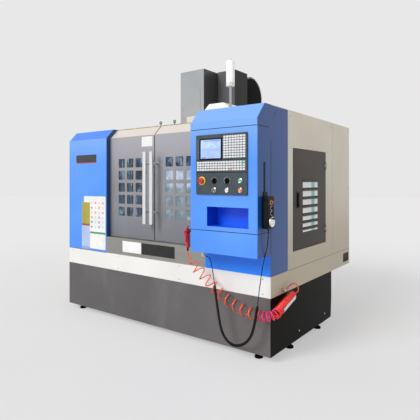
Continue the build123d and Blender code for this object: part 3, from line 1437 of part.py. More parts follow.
def headstock():
    """The head casting: spindle housing, arm, motor plate and the carriage on the column's ways."""
    back = CARRIAGE_FACE
    face = back - CARRIAGE_THICKNESS
    half = CARRIAGE_HALF_WIDTH
    carriage = block(SPINDLE_X - half, SPINDLE_X + half, face, back, NOSE_Z, HEAD_TOP)
    arm_outline = [
        (SPINDLE_Y, NOSE_Z + 70),
        (face, NOSE_Z + 10),
        (face, HEAD_TOP - 10),
        (face - 120, MOTOR_PLATE_Z),
        (SPINDLE_Y, MOTOR_PLATE_Z),
    ]
    arm = side_prism(arm_outline, SPINDLE_X - ARM_HALF_WIDTH, SPINDLE_X + ARM_HALF_WIDTH)
    housing = rod((SPINDLE_X, SPINDLE_Y, NOSE_Z), (0, 0, 1), HOUSING_RADIUS, MOTOR_PLATE_Z - NOSE_Z)
    housing = chamfer(housing.faces().sort_by(Axis.Z)[0].edges(), 14)
    plate_y = (COVER_FRONT + SHEET, face)
    plate_x = (COVER_X[0] + SHEET, COVER_X[1] - SHEET)
    plate = block(*plate_x, *plate_y, MOTOR_PLATE_Z, MOTOR_PLATE_Z + MOTOR_PLATE)
    head = fused(carriage, arm, housing, plate)
    rail_half = Y_RAIL_WIDTH / 2 + RAIL_FIT
    truck_half = TRUCK_WIDTH / 2
    truck_back = COLUMN_Y[0] - 6
    channel = COLUMN_Y[0] - Y_RAIL_HEIGHT - RAIL_FIT
    for s in (-1, 1):
        x = SPINDLE_X + s * Z_RAIL_SPREAD
        for z in (NOSE_Z + 20, HEAD_TOP - 20 - TRUCK_LENGTH):
            truck = block(x - truck_half, x + truck_half, back, truck_back, z, z + TRUCK_LENGTH)
            truck -= block(x - rail_half, x + rail_half, channel, truck_back + 1, z - 1, z + TRUCK_LENGTH + 1)
            head += truck
    nut_half = NUT_SIZE / 2
    middle = (NOSE_Z + HEAD_TOP) / 2
    low = middle - nut_half
    nut = block(SPINDLE_X - nut_half, SPINDLE_X + nut_half, back, truck_back, low, low + NUT_SIZE)
    up = (0, 0, 1)
    nut -= rod((SPINDLE_X, Z_SCREW_Y, low - 1), up, SCREW_RADIUS + SCREW_FIT, NUT_SIZE + 2)
    spindle_hole = SPINDLE_RADIUS + SPINDLE_FIT
    bore = rod((SPINDLE_X, SPINDLE_Y, NOSE_Z - 1), up, spindle_hole, SPINDLE_LENGTH + 2)
    return fused(head, nut) - bore


def spindle():
    """The spindle with its nose flange, its drive keys and the tool taper."""
    nose_foot = NOSE_Z - RAIL_FIT - SPINDLE_NOSE
    nose = rod((SPINDLE_X, SPINDLE_Y, nose_foot), (0, 0, 1), SPINDLE_NOSE_RADIUS, SPINDLE_NOSE)
    nose = chamfer(nose.faces().sort_by(Axis.Z)[0].edges().sort_by(SortBy.LENGTH)[-1:], 2)
    shaft = rod((SPINDLE_X, SPINDLE_Y, nose_foot), (0, 0, 1), SPINDLE_RADIUS, SPINDLE_LENGTH)
    body = fused(nose, shaft)
    small = TAPER_MOUTH_RADIUS - TAPER_LENGTH * 7 / 48
    outline = Polygon((0, 0), (TAPER_MOUTH_RADIUS, 0), (small, TAPER_LENGTH), (0, TAPER_LENGTH), align=None)
    taper = revolve(Plane.XZ * outline, Axis.Z)
    body -= Pos(SPINDLE_X, SPINDLE_Y, nose_foot) * taper
    body -= rod((SPINDLE_X, SPINDLE_Y, nose_foot), (0, 0, 1), DRAWBAR_RADIUS, SPINDLE_LENGTH - 40)
    key_in = TAPER_MOUTH_RADIUS + 3
    for s in (-1, 1):
        x0 = SPINDLE_X + s * key_in
        x1 = SPINDLE_X + s * (SPINDLE_NOSE_RADIUS - 3)
        half = KEY_WIDTH / 2
        x0, x1 = min(x0, x1), max(x0, x1)
        body += block(x0, x1, SPINDLE_Y - half, SPINDLE_Y + half, nose_foot - KEY_HEIGHT, nose_foot + 1)
    return body


def spindle_motor():
    """The spindle motor on its flange, with cooling fins round it."""
    foot = MOTOR_PLATE_Z + MOTOR_PLATE
    half = MOTOR_FLANGE / 2
    flange = block(SPINDLE_X - half, SPINDLE_X + half, SPINDLE_Y - half, SPINDLE_Y + half, foot, foot + 15)
    body = rod((SPINDLE_X, SPINDLE_Y, foot), (0, 0, 1), MOTOR_RADIUS - 8, MOTOR_HEIGHT)
    motor = fused(flange, body)
    for i in range(9):
        z = foot + 40 + i * 26
        motor += rod((SPINDLE_X, SPINDLE_Y, z), (0, 0, 1), MOTOR_RADIUS, 10)
    fan = rod((SPINDLE_X, SPINDLE_Y, foot + MOTOR_HEIGHT - 60), (0, 0, 1), MOTOR_RADIUS, 60)
    return motor + fan


def saddle():
    """The saddle with its trucks on the bed's ways, its nut and the trucks of the table."""
    x, y = SPINDLE_X, SPINDLE_Y
    plan = (x - SADDLE_HALF_X, x + SADDLE_HALF_X, y - SADDLE_HALF_Y, y + SADDLE_HALF_Y)
    body = block(*plan, SADDLE_BOTTOM, SADDLE_TOP)
    truck_half = TRUCK_WIDTH / 2
    rail_half = Y_RAIL_WIDTH / 2 + RAIL_FIT
    rail_top = PEDESTAL_TOP + Y_RAIL_HEIGHT + RAIL_FIT
    for s in (-1, 1):
        rx = x + s * Y_RAIL_SPREAD
        for y0 in (y - SADDLE_HALF_Y, y + SADDLE_HALF_Y - TRUCK_LENGTH):
            foot = SADDLE_BOTTOM - TRUCK_DROP
            truck = block(rx - truck_half, rx + truck_half, y0, y0 + TRUCK_LENGTH, foot, SADDLE_BOTTOM)
            truck -= block(rx - rail_half, rx + rail_half, y0 - 1, y0 + TRUCK_LENGTH + 1, foot - 1, rail_top)
            body += truck
    half = NUT_SIZE / 2
    nut = block(x - half, x + half, y - half, y + half, PEDESTAL_TOP + 2, SADDLE_BOTTOM)
    nut -= rod((x, y - half - 1, Y_SCREW_Z), (0, 1, 0), SCREW_RADIUS + SCREW_FIT, NUT_SIZE + 2)
    body += nut
    rail_half = X_RAIL_WIDTH / 2 + RAIL_FIT
    channel = TABLE_BOTTOM - X_RAIL_HEIGHT - RAIL_FIT
    top = SADDLE_TOP + X_TRUCK_HEIGHT
    for s in (-1, 1):
        for t in (-1, 1):
            cx = x + s * X_TRUCK_SPREAD
            cy = y + t * X_RAIL_SPREAD
            long = X_TRUCK_LENGTH / 2
            wide = X_TRUCK_WIDTH / 2
            truck = block(cx - long, cx + long, cy - wide, cy + wide, SADDLE_TOP, top)
            truck -= block(cx - long - 1, cx + long + 1, cy - rail_half, cy + rail_half, channel, top + 1)
            body += truck
    nut = block(x - 20, x + 20, y - half, y + half, SADDLE_TOP, TABLE_BOTTOM - 2)
    nut -= rod((x - 21, y, X_SCREW_Z), (1, 0, 0), SCREW_RADIUS + SCREW_FIT, 42)
    return body + nut


def table():
    """The table with its T-slots on top and its rails and screw underneath."""
    x0 = SPINDLE_X - TABLE_LENGTH / 2
    x1 = SPINDLE_X + TABLE_LENGTH / 2
    y0 = SPINDLE_Y - TABLE_DEPTH / 2
    y1 = SPINDLE_Y + TABLE_DEPTH / 2
    body = block(x0, x1, y0, y1, TABLE_BOTTOM, TABLE_TOP)
    for i in range(TSLOT_COUNT):
        y = SPINDLE_Y + (i - (TSLOT_COUNT - 1) / 2) * TSLOT_PITCH
        neck = TSLOT_WIDTH / 2
        head = TSLOT_HEAD_WIDTH / 2
        step = TABLE_TOP - TSLOT_NECK
        body -= block(x0 - 1, x1 + 1, y - neck, y + neck, step - 1, TABLE_TOP + 1)
        body -= block(x0 - 1, x1 + 1, y - head, y + head, step - TSLOT_HEAD_HEIGHT, step)
    for s in (-1, 1):
        y = SPINDLE_Y + s * X_RAIL_SPREAD
        half = X_RAIL_WIDTH / 2
        body += block(x0, x1, y - half, y + half, TABLE_BOTTOM - X_RAIL_HEIGHT, TABLE_BOTTOM)
    half = BEARING_WIDTH / 2
    bearing_foot = SADDLE_TOP + 4
    for x in (x0 + 5, x1 - 5 - BEARING_LENGTH):
        body += block(x, x + BEARING_LENGTH, SPINDLE_Y - half, SPINDLE_Y + half, bearing_foot, TABLE_BOTTOM)
    start = x0 + 5 + BEARING_LENGTH - 1
    body += rod((start, SPINDLE_Y, X_SCREW_Z), (1, 0, 0), SCREW_RADIUS, x1 - x0 - 2 * (4 + BEARING_LENGTH))
    return body


def tight_coil():
    """The hose's wound part, as one closed cylinder."""
    start = Vector(*TIGHT_COIL[0])
    end = Vector(*TIGHT_COIL[1])
    return rod(start, end - start, TIGHT_COIL_DIAMETER / 2, (end - start).length)


def build():
    """Every node by name."""
    nodes = {
        "bed_casting": bed_casting(),
        "levelling_feet": levelling_feet(),
        "base_skirt": base_skirt(),
        "lower_band": lower_band(),
        "chip_tray": chip_tray(),
        "rear_liner": rear_liner(),
        "left_front_panel": left_front_panel(),
        "left_side_panel": left_side_panel(),
        "right_corner_panel": right_corner_panel(),
        "right_side_panel": right_side_panel(),
        "back_panel": back_panel(),
        "roof_panel": roof_panel(),
        "door_sill": door_sill(),
        "door_rails": door_rails(),
        "signal_tower": signal_tower(),
        "left_door": door(-1),
        "right_door": door(1),
        "left_door_window": door_window(-1),
        "right_door_window": door_window(1),
        "left_door_handle": door_handle(-1),
        "right_door_handle": door_handle(1),
        "control_cabinet": control_cabinet(),
        "control_hood": control_hood(),
        "control_panel": control_panel(),
        "screen": screen(),
        "emergency_stop": emergency_stop(),
        "pendant_case": pendant_case(),
        "pendant_stop": pendant_stop(),
        "pendant_axis_knob": pendant_knob(PENDANT_KNOBS_Z[0]),
        "pendant_step_knob": pendant_knob(PENDANT_KNOBS_Z[1]),
        "pendant_handwheel": pendant_handwheel(),
        "cable_connector": cable_connector(),
        "pendant_lead_upper": tube(LEAD_UPPER, LEAD_DIAMETER, "upper lead"),
        "pendant_curly_cord": tube(CURL_ROUTE, CURL_DIAMETER, "curly cord"),
        "pendant_lead_lower": tube(LEAD_LOWER, LEAD_DIAMETER, "lower lead"),
        "hose_loose_coil": tube(HOSE_ROUTE, COIL_DIAMETER, "hose"),
        "hose_tight_coil": tight_coil(),
        "hose_tail": tube(TAIL_ROUTE, HOSE_DIAMETER, "hose tail"),
        "air_fitting": air_fitting(),
        "air_gun": air_gun(),
        "air_gun_trigger": air_gun_trigger(),
        "electrical_box": electrical_box(),
        "mounting_plate": mounting_plate(),
        "cabinet_door": cabinet_door(),
        "cabinet_latch": cabinet_latch(),
        "column": column(),
        "headstock": headstock(),
        "spindle": spindle(),
        "spindle_motor": spindle_motor(),
        "head_cover": head_cover(),
        "saddle": saddle(),
        "table": table(),
        "magazine_housing": magazine_housing(),
        "magazine_disc": magazine_disc(),
    }
    for name, (x, z) in push_places().items():
        nodes[name] = push_button(x, z)
    for name, (x, z) in turn_places().items():
        nodes[name] = key_switch(x, z) if name == "key_switch" else selector(x, z)
    return nodes


CORD_NODES = (
    "pendant_lead_upper",
    "pendant_curly_cord",
    "pendant_lead_lower",
    "hose_loose_coil",
    "hose_tight_coil",
    "hose_tail",
)


def solids_of(piece):
    """A node's separate solids."""
    pieces = piece if isinstance(piece, list) else [piece]
    return [solid for p in pieces for solid in p.solids()]


def middle_of(nodes):
    """The middle of the rigid pieces' box, in X and Y."""
    boxes = [s.bounding_box() for n, p in nodes.items() if n not in CORD_NODES for s in solids_of(p)]
    x = (min(b.min.X for b in boxes) + max(b.max.X for b in boxes)) / 2
    y = (min(b.min.Y for b in boxes) + max(b.max.Y for b in boxes)) / 2
    return x, y


def main():
    os.makedirs("parts", exist_ok=True)
    nodes = build()
    x, y = middle_of(nodes)
    print("origin is at", x, y)
    for name, piece in nodes.items():
        moved = [Pos(-x, -y, 0) * solid for solid in solids_of(piece)]
        whole = moved[0] if len(moved) == 1 else Compound(children=moved)
        export_step(whole, f"parts/{name}.step")


main()
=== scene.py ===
# %% [markdown]
# # A machining centre, dressed for its picture
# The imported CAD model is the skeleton: every panel, casting and button is already in its
# place, in metres, with the floor at Z = 0. This lesson adds what CAD leaves out: paint,
# brushed steel, rubber and glass, the turns of the recoil hose and of the curly cord, seals,
# screws and printed fields. The camera and the cords come first, because they decide the room
# that the picture needs. Everything is measured in the machine's own millimetres, from its
# left side, its front plane and the floor.

# %% Load the frame and find the machine's own corner
import json

import bmesh
import bpy
import numpy as np
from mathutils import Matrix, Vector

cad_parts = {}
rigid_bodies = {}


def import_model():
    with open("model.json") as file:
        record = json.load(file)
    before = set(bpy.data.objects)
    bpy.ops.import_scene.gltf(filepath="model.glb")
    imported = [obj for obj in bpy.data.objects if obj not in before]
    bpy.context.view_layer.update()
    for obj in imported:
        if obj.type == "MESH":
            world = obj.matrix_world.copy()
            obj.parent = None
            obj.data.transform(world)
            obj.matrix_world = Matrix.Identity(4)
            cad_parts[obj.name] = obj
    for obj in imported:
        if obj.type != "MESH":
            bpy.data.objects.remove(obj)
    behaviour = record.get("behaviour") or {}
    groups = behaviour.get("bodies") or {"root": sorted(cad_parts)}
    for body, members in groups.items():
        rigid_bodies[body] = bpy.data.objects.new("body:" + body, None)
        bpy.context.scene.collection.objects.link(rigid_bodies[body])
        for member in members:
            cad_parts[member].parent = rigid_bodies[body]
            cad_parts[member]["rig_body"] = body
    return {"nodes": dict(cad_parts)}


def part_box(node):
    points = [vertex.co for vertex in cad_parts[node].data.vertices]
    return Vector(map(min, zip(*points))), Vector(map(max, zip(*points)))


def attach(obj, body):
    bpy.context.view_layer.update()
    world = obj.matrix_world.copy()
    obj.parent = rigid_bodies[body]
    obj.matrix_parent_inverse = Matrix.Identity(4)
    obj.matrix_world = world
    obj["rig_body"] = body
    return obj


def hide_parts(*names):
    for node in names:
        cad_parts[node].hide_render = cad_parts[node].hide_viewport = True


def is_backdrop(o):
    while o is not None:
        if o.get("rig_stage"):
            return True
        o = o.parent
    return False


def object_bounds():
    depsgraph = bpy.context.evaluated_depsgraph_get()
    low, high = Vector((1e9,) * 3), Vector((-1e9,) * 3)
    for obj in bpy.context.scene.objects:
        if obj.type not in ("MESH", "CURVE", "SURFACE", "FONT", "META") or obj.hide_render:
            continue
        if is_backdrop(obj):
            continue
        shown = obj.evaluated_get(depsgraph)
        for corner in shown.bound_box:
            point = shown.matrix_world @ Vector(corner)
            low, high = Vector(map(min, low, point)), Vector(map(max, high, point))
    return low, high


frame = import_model()
cad_low, cad_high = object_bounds()
NODES = frame["nodes"]
CORNER = np.array([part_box("left_side_panel")[0].x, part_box("base_skirt")[0].y, 0.0])
WIDTH = 2200


def place(points):
    """Machine millimetres to the row's metres: the point over a thousand, plus the corner."""
    return np.asarray(points, float) / 1000 + CORNER


print("machine corner", np.round(CORNER, 4), "box", np.round(cad_low, 3), np.round(cad_high, 3))

# %% [markdown]
# ## The camera
# A photograph of a machine is taken with a level camera, so that upright edges stay upright,
# and the picture is then shifted up or down. The place, the turn and the lens were solved from
# the corners of the guard in the photograph. A level camera looks along the horizon, so it is
# turned 90 degrees about X and then about Z, and the shift brings the machine into the frame.

# %% Camera
CAMERA_MM = (3556.3, -2508.1, 1219.2)
CAMERA_YAW = 36.53
LENS_MM = 36.46
SHIFT = -0.0684
camera_data = bpy.data.cameras.new("camera")
camera_data.sensor_width = 36
camera_data.lens = LENS_MM
camera_data.shift_y = SHIFT
camera_data.clip_end = 60
camera = bpy.data.objects.new("camera", camera_data)
camera.location = place(CAMERA_MM)
camera.rotation_euler = (np.radians(90), 0, np.radians(CAMERA_YAW))
bpy.context.scene.collection.objects.link(camera)
bpy.context.scene.camera = camera
bpy.context.scene.view_settings.view_transform = "Standard"
print("camera at", np.round(camera.location, 3))

# %% [markdown]
# ## Surfaces as arrays
# A surface here is a grid of points worked out as whole numpy arrays, one row after the next,
# and the quads between neighbouring rows and columns are index arithmetic. Where a row has
# shrunk to one point, as at the middle of a lid, the doubles are merged, so poles are closed,
# and the normals are then recalculated to point outwards.


# %% A mesh from one or more grids
def surface(name, grids, body, material, closed=True, smooth=True):
    """Grids have the shape (pieces, rows, columns, 3) in machine millimetres. closed joins the
    last column to the first. Each quad takes its corners from two rows and two columns."""
    grids = np.asarray(grids, float)
    pieces, rows, columns = grids.shape[:3]
    index = np.arange(pieces * rows * columns).reshape(pieces, rows, columns)
    if closed:
        index = np.concatenate([index, index[:, :, :1]], axis=2)
    a, b = index[:, :-1, :-1], index[:, 1:, :-1]
    c, d = index[:, 1:, 1:], index[:, :-1, 1:]
    quads = np.stack([a, b, c, d], axis=-1).reshape(-1, 4)
    mesh = bpy.data.meshes.new(name)
    mesh.from_pydata(place(grids.reshape(-1, 3)).tolist(), [], quads.tolist())
    work = bmesh.new()
    work.from_mesh(mesh)
    bmesh.ops.remove_doubles(work, verts=work.verts, dist=2e-6)
    bmesh.ops.dissolve_degenerate(work, edges=work.edges, dist=1e-7)
    bmesh.ops.recalc_face_normals(work, faces=work.faces)
    work.to_mesh(mesh)
    work.free()
    if smooth:
        mesh.shade_smooth()
        mesh.set_sharp_from_angle(angle=np.radians(40))
    mesh.materials.append(material)
    piece = bpy.data.objects.new(name, mesh)
    bpy.context.scene.collection.objects.link(piece)
    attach(piece, body)
    return piece


# Which way a piece faces: the machine axes that its own across, up and outward axes follow.
FACING = {
    "front": ((1, 0, 0), (0, 0, 1), (0, -1, 0)),
    "back": ((-1, 0, 0), (0, 0, 1), (0, 1, 0)),
    "right": ((0, 1, 0), (0, 0, 1), (1, 0, 0)),
    "left": ((0, -1, 0), (0, 0, 1), (-1, 0, 0)),
    "top": ((1, 0, 0), (0, 1, 0), (0, 0, 1)),
    "down": ((1, 0, 0), (0, -1, 0), (0, 0, -1)),
}


def turned_to(local, facing, centres):
    """Local grids (rows, columns, 3) repeated at each centre, with their axes along FACING."""
    axes = np.array(FACING[facing], float)
    return np.asarray(local) @ axes + np.asarray(centres, float).reshape(-1, 1, 1, 3)


def plate_grid(width, height, thickness, corner, edge):
    """A lid: rings of a rounded rectangle. From the rim at the wall it goes up the side, over
    a rounded edge and in to the middle. Point = ring's own half sizes less its corner, plus
    the corner's arc; the arc's angle runs once round."""
    angle = np.concatenate([np.linspace(q, q + 1, 5) for q in range(4)]) * np.pi / 2
    sign = np.repeat([[1, 1], [-1, 1], [-1, -1], [1, -1]], 5, axis=0)
    turn = np.linspace(0, np.pi / 2, 4)
    inset = np.concatenate([[0], edge * (1 - np.cos(turn)), [corner * 0.98]])
    level = np.concatenate([[0], thickness - edge + edge * np.sin(turn), [thickness]])
    middle = np.array([max(0.0, width / 2 - corner), max(0.0, height / 2 - corner)])
    arc = np.stack([np.cos(angle), np.sin(angle)], axis=1)
    radius = np.maximum(corner - inset, 0)[:, None, None]
    flat = sign * middle + radius * arc
    flat = np.concatenate([flat, flat[-1:] * 0])
    level = np.append(level, thickness)
    lifted = np.broadcast_to(level[:, None, None], flat.shape[:2] + (1,))
    return np.concatenate([flat, lifted], axis=2)


def turned_grid(profile, count=24):
    """A turned piece: the profile's radius and height, carried once round its axis."""
    radius, height = np.array(profile, float).T[:, :, None]
    angle = np.linspace(0, 2 * np.pi, count, endpoint=False)[None]
    flat = [radius * np.cos(angle), radius * np.sin(angle), height + 0 * angle]
    return np.stack(flat, axis=-1)


# %% [markdown]
# ## Curves along a route
# A cord is a NURBS spline through the same points as its CAD tube, in metres. Its helix is
# worked out on top of that: the route's smooth line is read back from Blender, a frame that
# does not twist is carried along it, and the turns are a circle in that frame. The angle grows
# with the distance travelled over the pitch, which may change along the way.


# %% Route, frame and spline helpers
def nurbs(name, points, diameter, material, body="frame"):
    """An open NURBS curve of order 3 that reaches both of its ends, with a round bevel. The
    bevel is one metre times each point's radius, so that Blender's own box of the curve,
    which adds that radius, is the cord's real box."""
    curve = bpy.data.curves.new(name, "CURVE")
    curve.dimensions = "3D"
    curve.bevel_depth = 1.0 if diameter else 0.0
    curve.bevel_resolution = 3
    curve.use_fill_caps = True
    curve.resolution_u = 6
    spline = curve.splines.new("NURBS")
    spline.points.add(len(points) - 1)
    spline.points.foreach_set("co", np.c_[points, np.ones(len(points))].ravel())
    spline.points.foreach_set("radius", np.full(len(points), diameter / 2))
    spline.order_u = 3
    spline.use_endpoint_u = True
    piece = bpy.data.objects.new(name, curve)
    bpy.context.scene.collection.objects.link(piece)
    if material is not None:
        curve.materials.append(material)
        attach(piece, body)
    return piece


def smooth_line(points, step):
    """The route's NURBS line as Blender gives it with no bevel, spaced evenly along it."""
    bare = nurbs("bare_route", points, 0, None)
    bare.data.resolution_u = 16
    mesh = bpy.data.meshes.new_from_object(bare)
    line = np.array([v.co for v in mesh.vertices])
    bpy.data.meshes.remove(mesh)
    bpy.data.curves.remove(bare.data)
    along = np.r_[0, np.cumsum(np.linalg.norm(np.diff(line, axis=0), axis=1))]
    at = np.linspace(0, along[-1], max(2, int(along[-1] / step)))
    return np.stack([np.interp(at, along, line[:, k]) for k in range(3)], axis=1), at


def carried_frame(line, up=(0.0, 1.0, 0.0)):
    """Two directions square to the line at each point. Each is the one before it, less its
    part along the new direction, so that the frame leans with the line and never twists."""
    along = np.gradient(line, axis=0)
    along /= np.linalg.norm(along, axis=1)[:, None]
    first = np.empty_like(line)
    last = np.array(up, float)
    for i, t in enumerate(along):
        last = last - t * (last @ t)
        last /= np.linalg.norm(last)
        first[i] = last
    return first, np.cross(along, first)


def wound(line, at, radius, pitch, start=0.0):
    """The helix round a line: the line plus radius times a turning direction. radius and
    pitch are arrays along the line, and the angle is the running sum of step over pitch."""
    first, second = carried_frame(line)
    angle = start + 2 * np.pi * np.cumsum(np.gradient(at) / pitch)
    circle = np.cos(angle)[:, None] * first + np.sin(angle)[:, None] * second
    return line + radius[:, None] * circle


def thinned(points, turn_points, pitch, at):
    """Keeps turn_points of the points per turn, spread evenly over the angle turned."""
    turns = np.cumsum(np.gradient(at) / pitch)
    wanted = np.linspace(turns[0], turns[-1], max(8, int((turns[-1] - turns[0]) * turn_points)))
    return np.stack([np.interp(wanted, turns, points[:, k]) for k in range(3)], axis=1)


def ramp(at, start, end):
    """0 before start, 1 after end, and a smooth step between them."""
    t = np.clip((at - start) / (end - start), 0, 1)
    return t * t * (3 - 2 * t)


# %% [markdown]
# ## Finishes
# Each material starts from the real one. Colours are written as sRGB hex, as they would be
# picked from a swatch, and one function turns them linear. One small function adds a node
# with its settings and its links. Patterns read Object coordinates, which are metres, so a
# pattern's scale is one over its size in metres.


# %% Colours and nodes
def colour(hexes):
    """sRGB hex to linear: value over 12.92 near black, and else the 2.4 power curve."""
    value = np.array([int(hexes[i : i + 2], 16) for i in (1, 3, 5)]) / 255
    linear = np.where(value <= 0.04045, value / 12.92, ((value + 0.055) / 1.055) ** 2.4)
    return (*linear.tolist(), 1.0)


def add(near, kind, inputs=None, **settings):
    """A new node in the tree of a socket or a node: settings are its own fields, and inputs
    are values or links by socket."""
    tree = near.id_data
    made = tree.nodes.new(kind)
    for field, value in settings.items():
        setattr(made, field, value)
    for socket, value in (inputs or {}).items():
        if isinstance(value, bpy.types.NodeSocket):
            tree.links.new(value, made.inputs[socket])
        else:
            made.inputs[socket].default_value = value
    return made


def linked(shader, **outputs):
    """Each output goes to the shader's socket of that name."""
    for socket, output in outputs.items():
        shader.id_data.links.new(output, shader.inputs[socket.replace("_", " ")])


def blank(name, **sockets):
    """A material with one Principled shader, whose sockets are set by name."""
    material = bpy.data.materials.new(name)
    material.use_nodes = True
    shader = material.node_tree.nodes["Principled BSDF"]
    for socket, value in sockets.items():
        shader.inputs[socket.replace("_", " ")].default_value = value
    where = add(shader, "ShaderNodeTexCoord").outputs["Object"]
    return material, shader, where


# %% [markdown]
# A finish is a ground colour with other colours laid over it. What says where a layer shows is
# either a noise, a smooth slope along an axis or a test on the machine's own millimetres. So
# one function lays the layers, and the ones before it make the noises, slopes and tests.


# %% Noises, slopes, tests and layers
def pattern(where, size_mm, detail=2.0, stretch=(1, 1, 1), rough=0.5):
    """Noise whose blobs are size_mm across, drawn out along an axis where stretch is small."""
    scale = tuple(1000 / size_mm * s for s in stretch)
    scaled = add(where, "ShaderNodeMapping", {"Vector": where, "Scale": scale}).outputs[0]
    inputs = {"Vector": scaled, "Scale": 1.0, "Detail": detail, "Roughness": rough}
    return add(where, "ShaderNodeTexNoise", inputs).outputs[0]


def combined(near, operation, *parts):
    """Values taken together two by two: their product is all of them, their maximum any."""
    result = parts[0]
    for part in parts[1:]:
        result = add(near, "ShaderNodeMath", {0: result, 1: part}, operation=operation).outputs[0]
    return result


def beyond(where, axis, limit_mm, side=1):
    """1 where the machine coordinate on an axis is past limit_mm, on the given side."""
    parts = add(where, "ShaderNodeSeparateXYZ", {0: where})
    limit = float(limit_mm / 1000 + CORNER["XYZ".index(axis)])
    test = "GREATER_THAN" if side > 0 else "LESS_THAN"
    return combined(where, test, parts.outputs[axis], limit)


def inside(where, *spans):
    """1 where the point is between two limits on every named axis."""
    tests = [
        beyond(where, axis, limit, side)
        for axis, *limits in spans
        for limit, side in zip(limits, (1, -1))
    ]
    return combined(where, "MULTIPLY", *tests)


def gradual(where, axis, low_mm, high_mm, share=1.0):
    """0 at one machine coordinate on an axis, rising smoothly to share at the other."""
    parts = add(where, "ShaderNodeSeparateXYZ", {0: where})
    low, high = (float(v / 1000 + CORNER["XYZ".index(axis)]) for v in (low_mm, high_mm))
    inputs = {"Value": parts.outputs[axis], 1: low, 2: high, 3: 0.0, 4: share}
    made = add(where, "ShaderNodeMapRange", inputs, interpolation_type="SMOOTHSTEP")
    return made.outputs[0]


def layered(where, base, *layers):
    """A colour with others laid over it. A layer is (colour, spans), which lies between limits
    on axes, or (colour, share), or (colour, value, low, high, most), which comes in as the
    value goes from low to high, up to most. A colour is a hex or a socket."""
    tone = colour(base) if isinstance(base, str) else base
    for over, share, *span in layers:
        over = colour(over) if isinstance(over, str) else over
        if isinstance(share, tuple):
            share = inside(where, *share)
        if span:
            low, high, most = (*span, 1.0)[:3]
            limits = {"Value": share, 1: low, 2: high, 3: 0.0, 4: most}
            share = add(where, "ShaderNodeMapRange", limits).outputs[0]
        inputs = {0: share, 6: tone, 7: over}
        tone = add(where, "ShaderNodeMix", inputs, data_type="RGBA").outputs[2]
    return tone


def bumped(shader, height, strength, distance_mm, edge_mm=0.0):
    """A bump from a height, over corners that the Bevel node rounds by edge_mm."""
    inputs = {"Height": height, "Strength": strength, "Distance": distance_mm / 1000}
    if edge_mm:
        soft = add(shader, "ShaderNodeBevel", {"Radius": edge_mm / 1000}, samples=4)
        inputs["Normal"] = soft.outputs[0]
    linked(shader, Normal=add(shader, "ShaderNodeBump", inputs).outputs[0])


# %% [markdown]
# Powder coat on sheet steel is sprayed dry and baked. It keeps a fine orange peel, a few
# millimetres from hill to hill and drawn a little coarser here so that it shows, and its tone
# drifts slightly over a big panel. The shine is soft. Edges are rounded by the coat. Most coats
# here also carry painted light: painted shade on right sides and in recesses, and painted
# highlights and painted shade that fade in towards a panel's top, bottom and end.

# %% Powder coat
FAR = 9000
PEEL_MM, DRIFT_MM, SMUDGE_MM = 5, 520, 180
RIGHT_SIDE = (("X", WIDTH - 0.5, FAR),)


def powder_coat(name, main, second, roughness, zones=(), smudge=None, painted_light_fades=(), **more):
    """main drifts to second over about half a metre. Each zone is (hex, spans), with hard
    limits: real two-tone paint, and on some coats painted shade. Each fade is (axis, from, to,
    hex, share), which comes in gradually; the fades are painted highlights and painted shade."""
    sockets = {"IOR": 1.5, "Coat_Weight": 0.15, "Coat_Roughness": 0.3, **more}
    material, shader, where = blank(name, Roughness=roughness, **sockets)
    layers = [(second, pattern(where, DRIFT_MM, 3), 0.32, 0.68)]
    if smudge:
        layers.append((smudge, pattern(where, SMUDGE_MM, 4, (1, 1, 0.45)), 0.52, 0.78, 0.6))
    for axis, low, high, hexes, share in painted_light_fades:
        layers.append((hexes, gradual(where, axis, low, high, share)))
    tone = layered(where, main, *layers, *zones)
    linked(shader, Base_Color=tone)
    bumped(shader, pattern(where, PEEL_MM), 0.16, 0.4, edge_mm=2.0)
    return material


# The control box has a pocket for papers, whose walls carry painted shade in a deeper blue, deepest on
# its left wall.
POCKET_SHADE = (("X", 1800, 2137), ("Y", -174, -40), ("Z", 911, 1048))
POCKET_LEFT_SHADE = (("X", 1800, 1804), *POCKET_SHADE[1:])
blue_coat = powder_coat(
    "powder_coat_sky_blue",
    "#4B8FF2",
    "#5A9BF8",
    0.34,
    zones=[
        # painted shade: a deeper blue on the recessed front under the control box
        ("#0A84FF", (("X", 1650, FAR), ("Z", 582, 727), ("Y", -2, 1))),
        # painted shade on the pocket's walls, deepest on the left wall
        ("#0064F2", POCKET_SHADE),
        ("#0040BC", POCKET_LEFT_SHADE),
        # painted shade on the left panel's return beside the doors
        ("#0E4278", (("X", 541.5, 546), ("Y", 1, 200))),
        # painted shade on the left panel's sloped top
        ("#2F80F0", (("X", -5, 541), ("Z", 1606, 1700))),
        # painted shade on the control box's right side
        ("#0F4A90", RIGHT_SIDE),
    ],
    # painted highlight, paler towards the top, and painted shade, deeper towards the bottom
    painted_light_fades=[("Z", 1330, 1640, "#7FB0EE", 0.75), ("Z", 900, 660, "#3F86F0", 0.6)],
)
# The cream carries painted shade, darker towards the bottom.
cream_coat = powder_coat(
    "powder_coat_cream", "#EAE3D2", "#E0D7C4", 0.42, painted_light_fades=[("Z", 1250, 620, "#C1B59D", 0.9)]
)
white_coat = powder_coat(
    "powder_coat_white", "#ECECE9", "#E4E2DD", 0.4, zones=[("#C4B8A0", RIGHT_SIDE)]
)
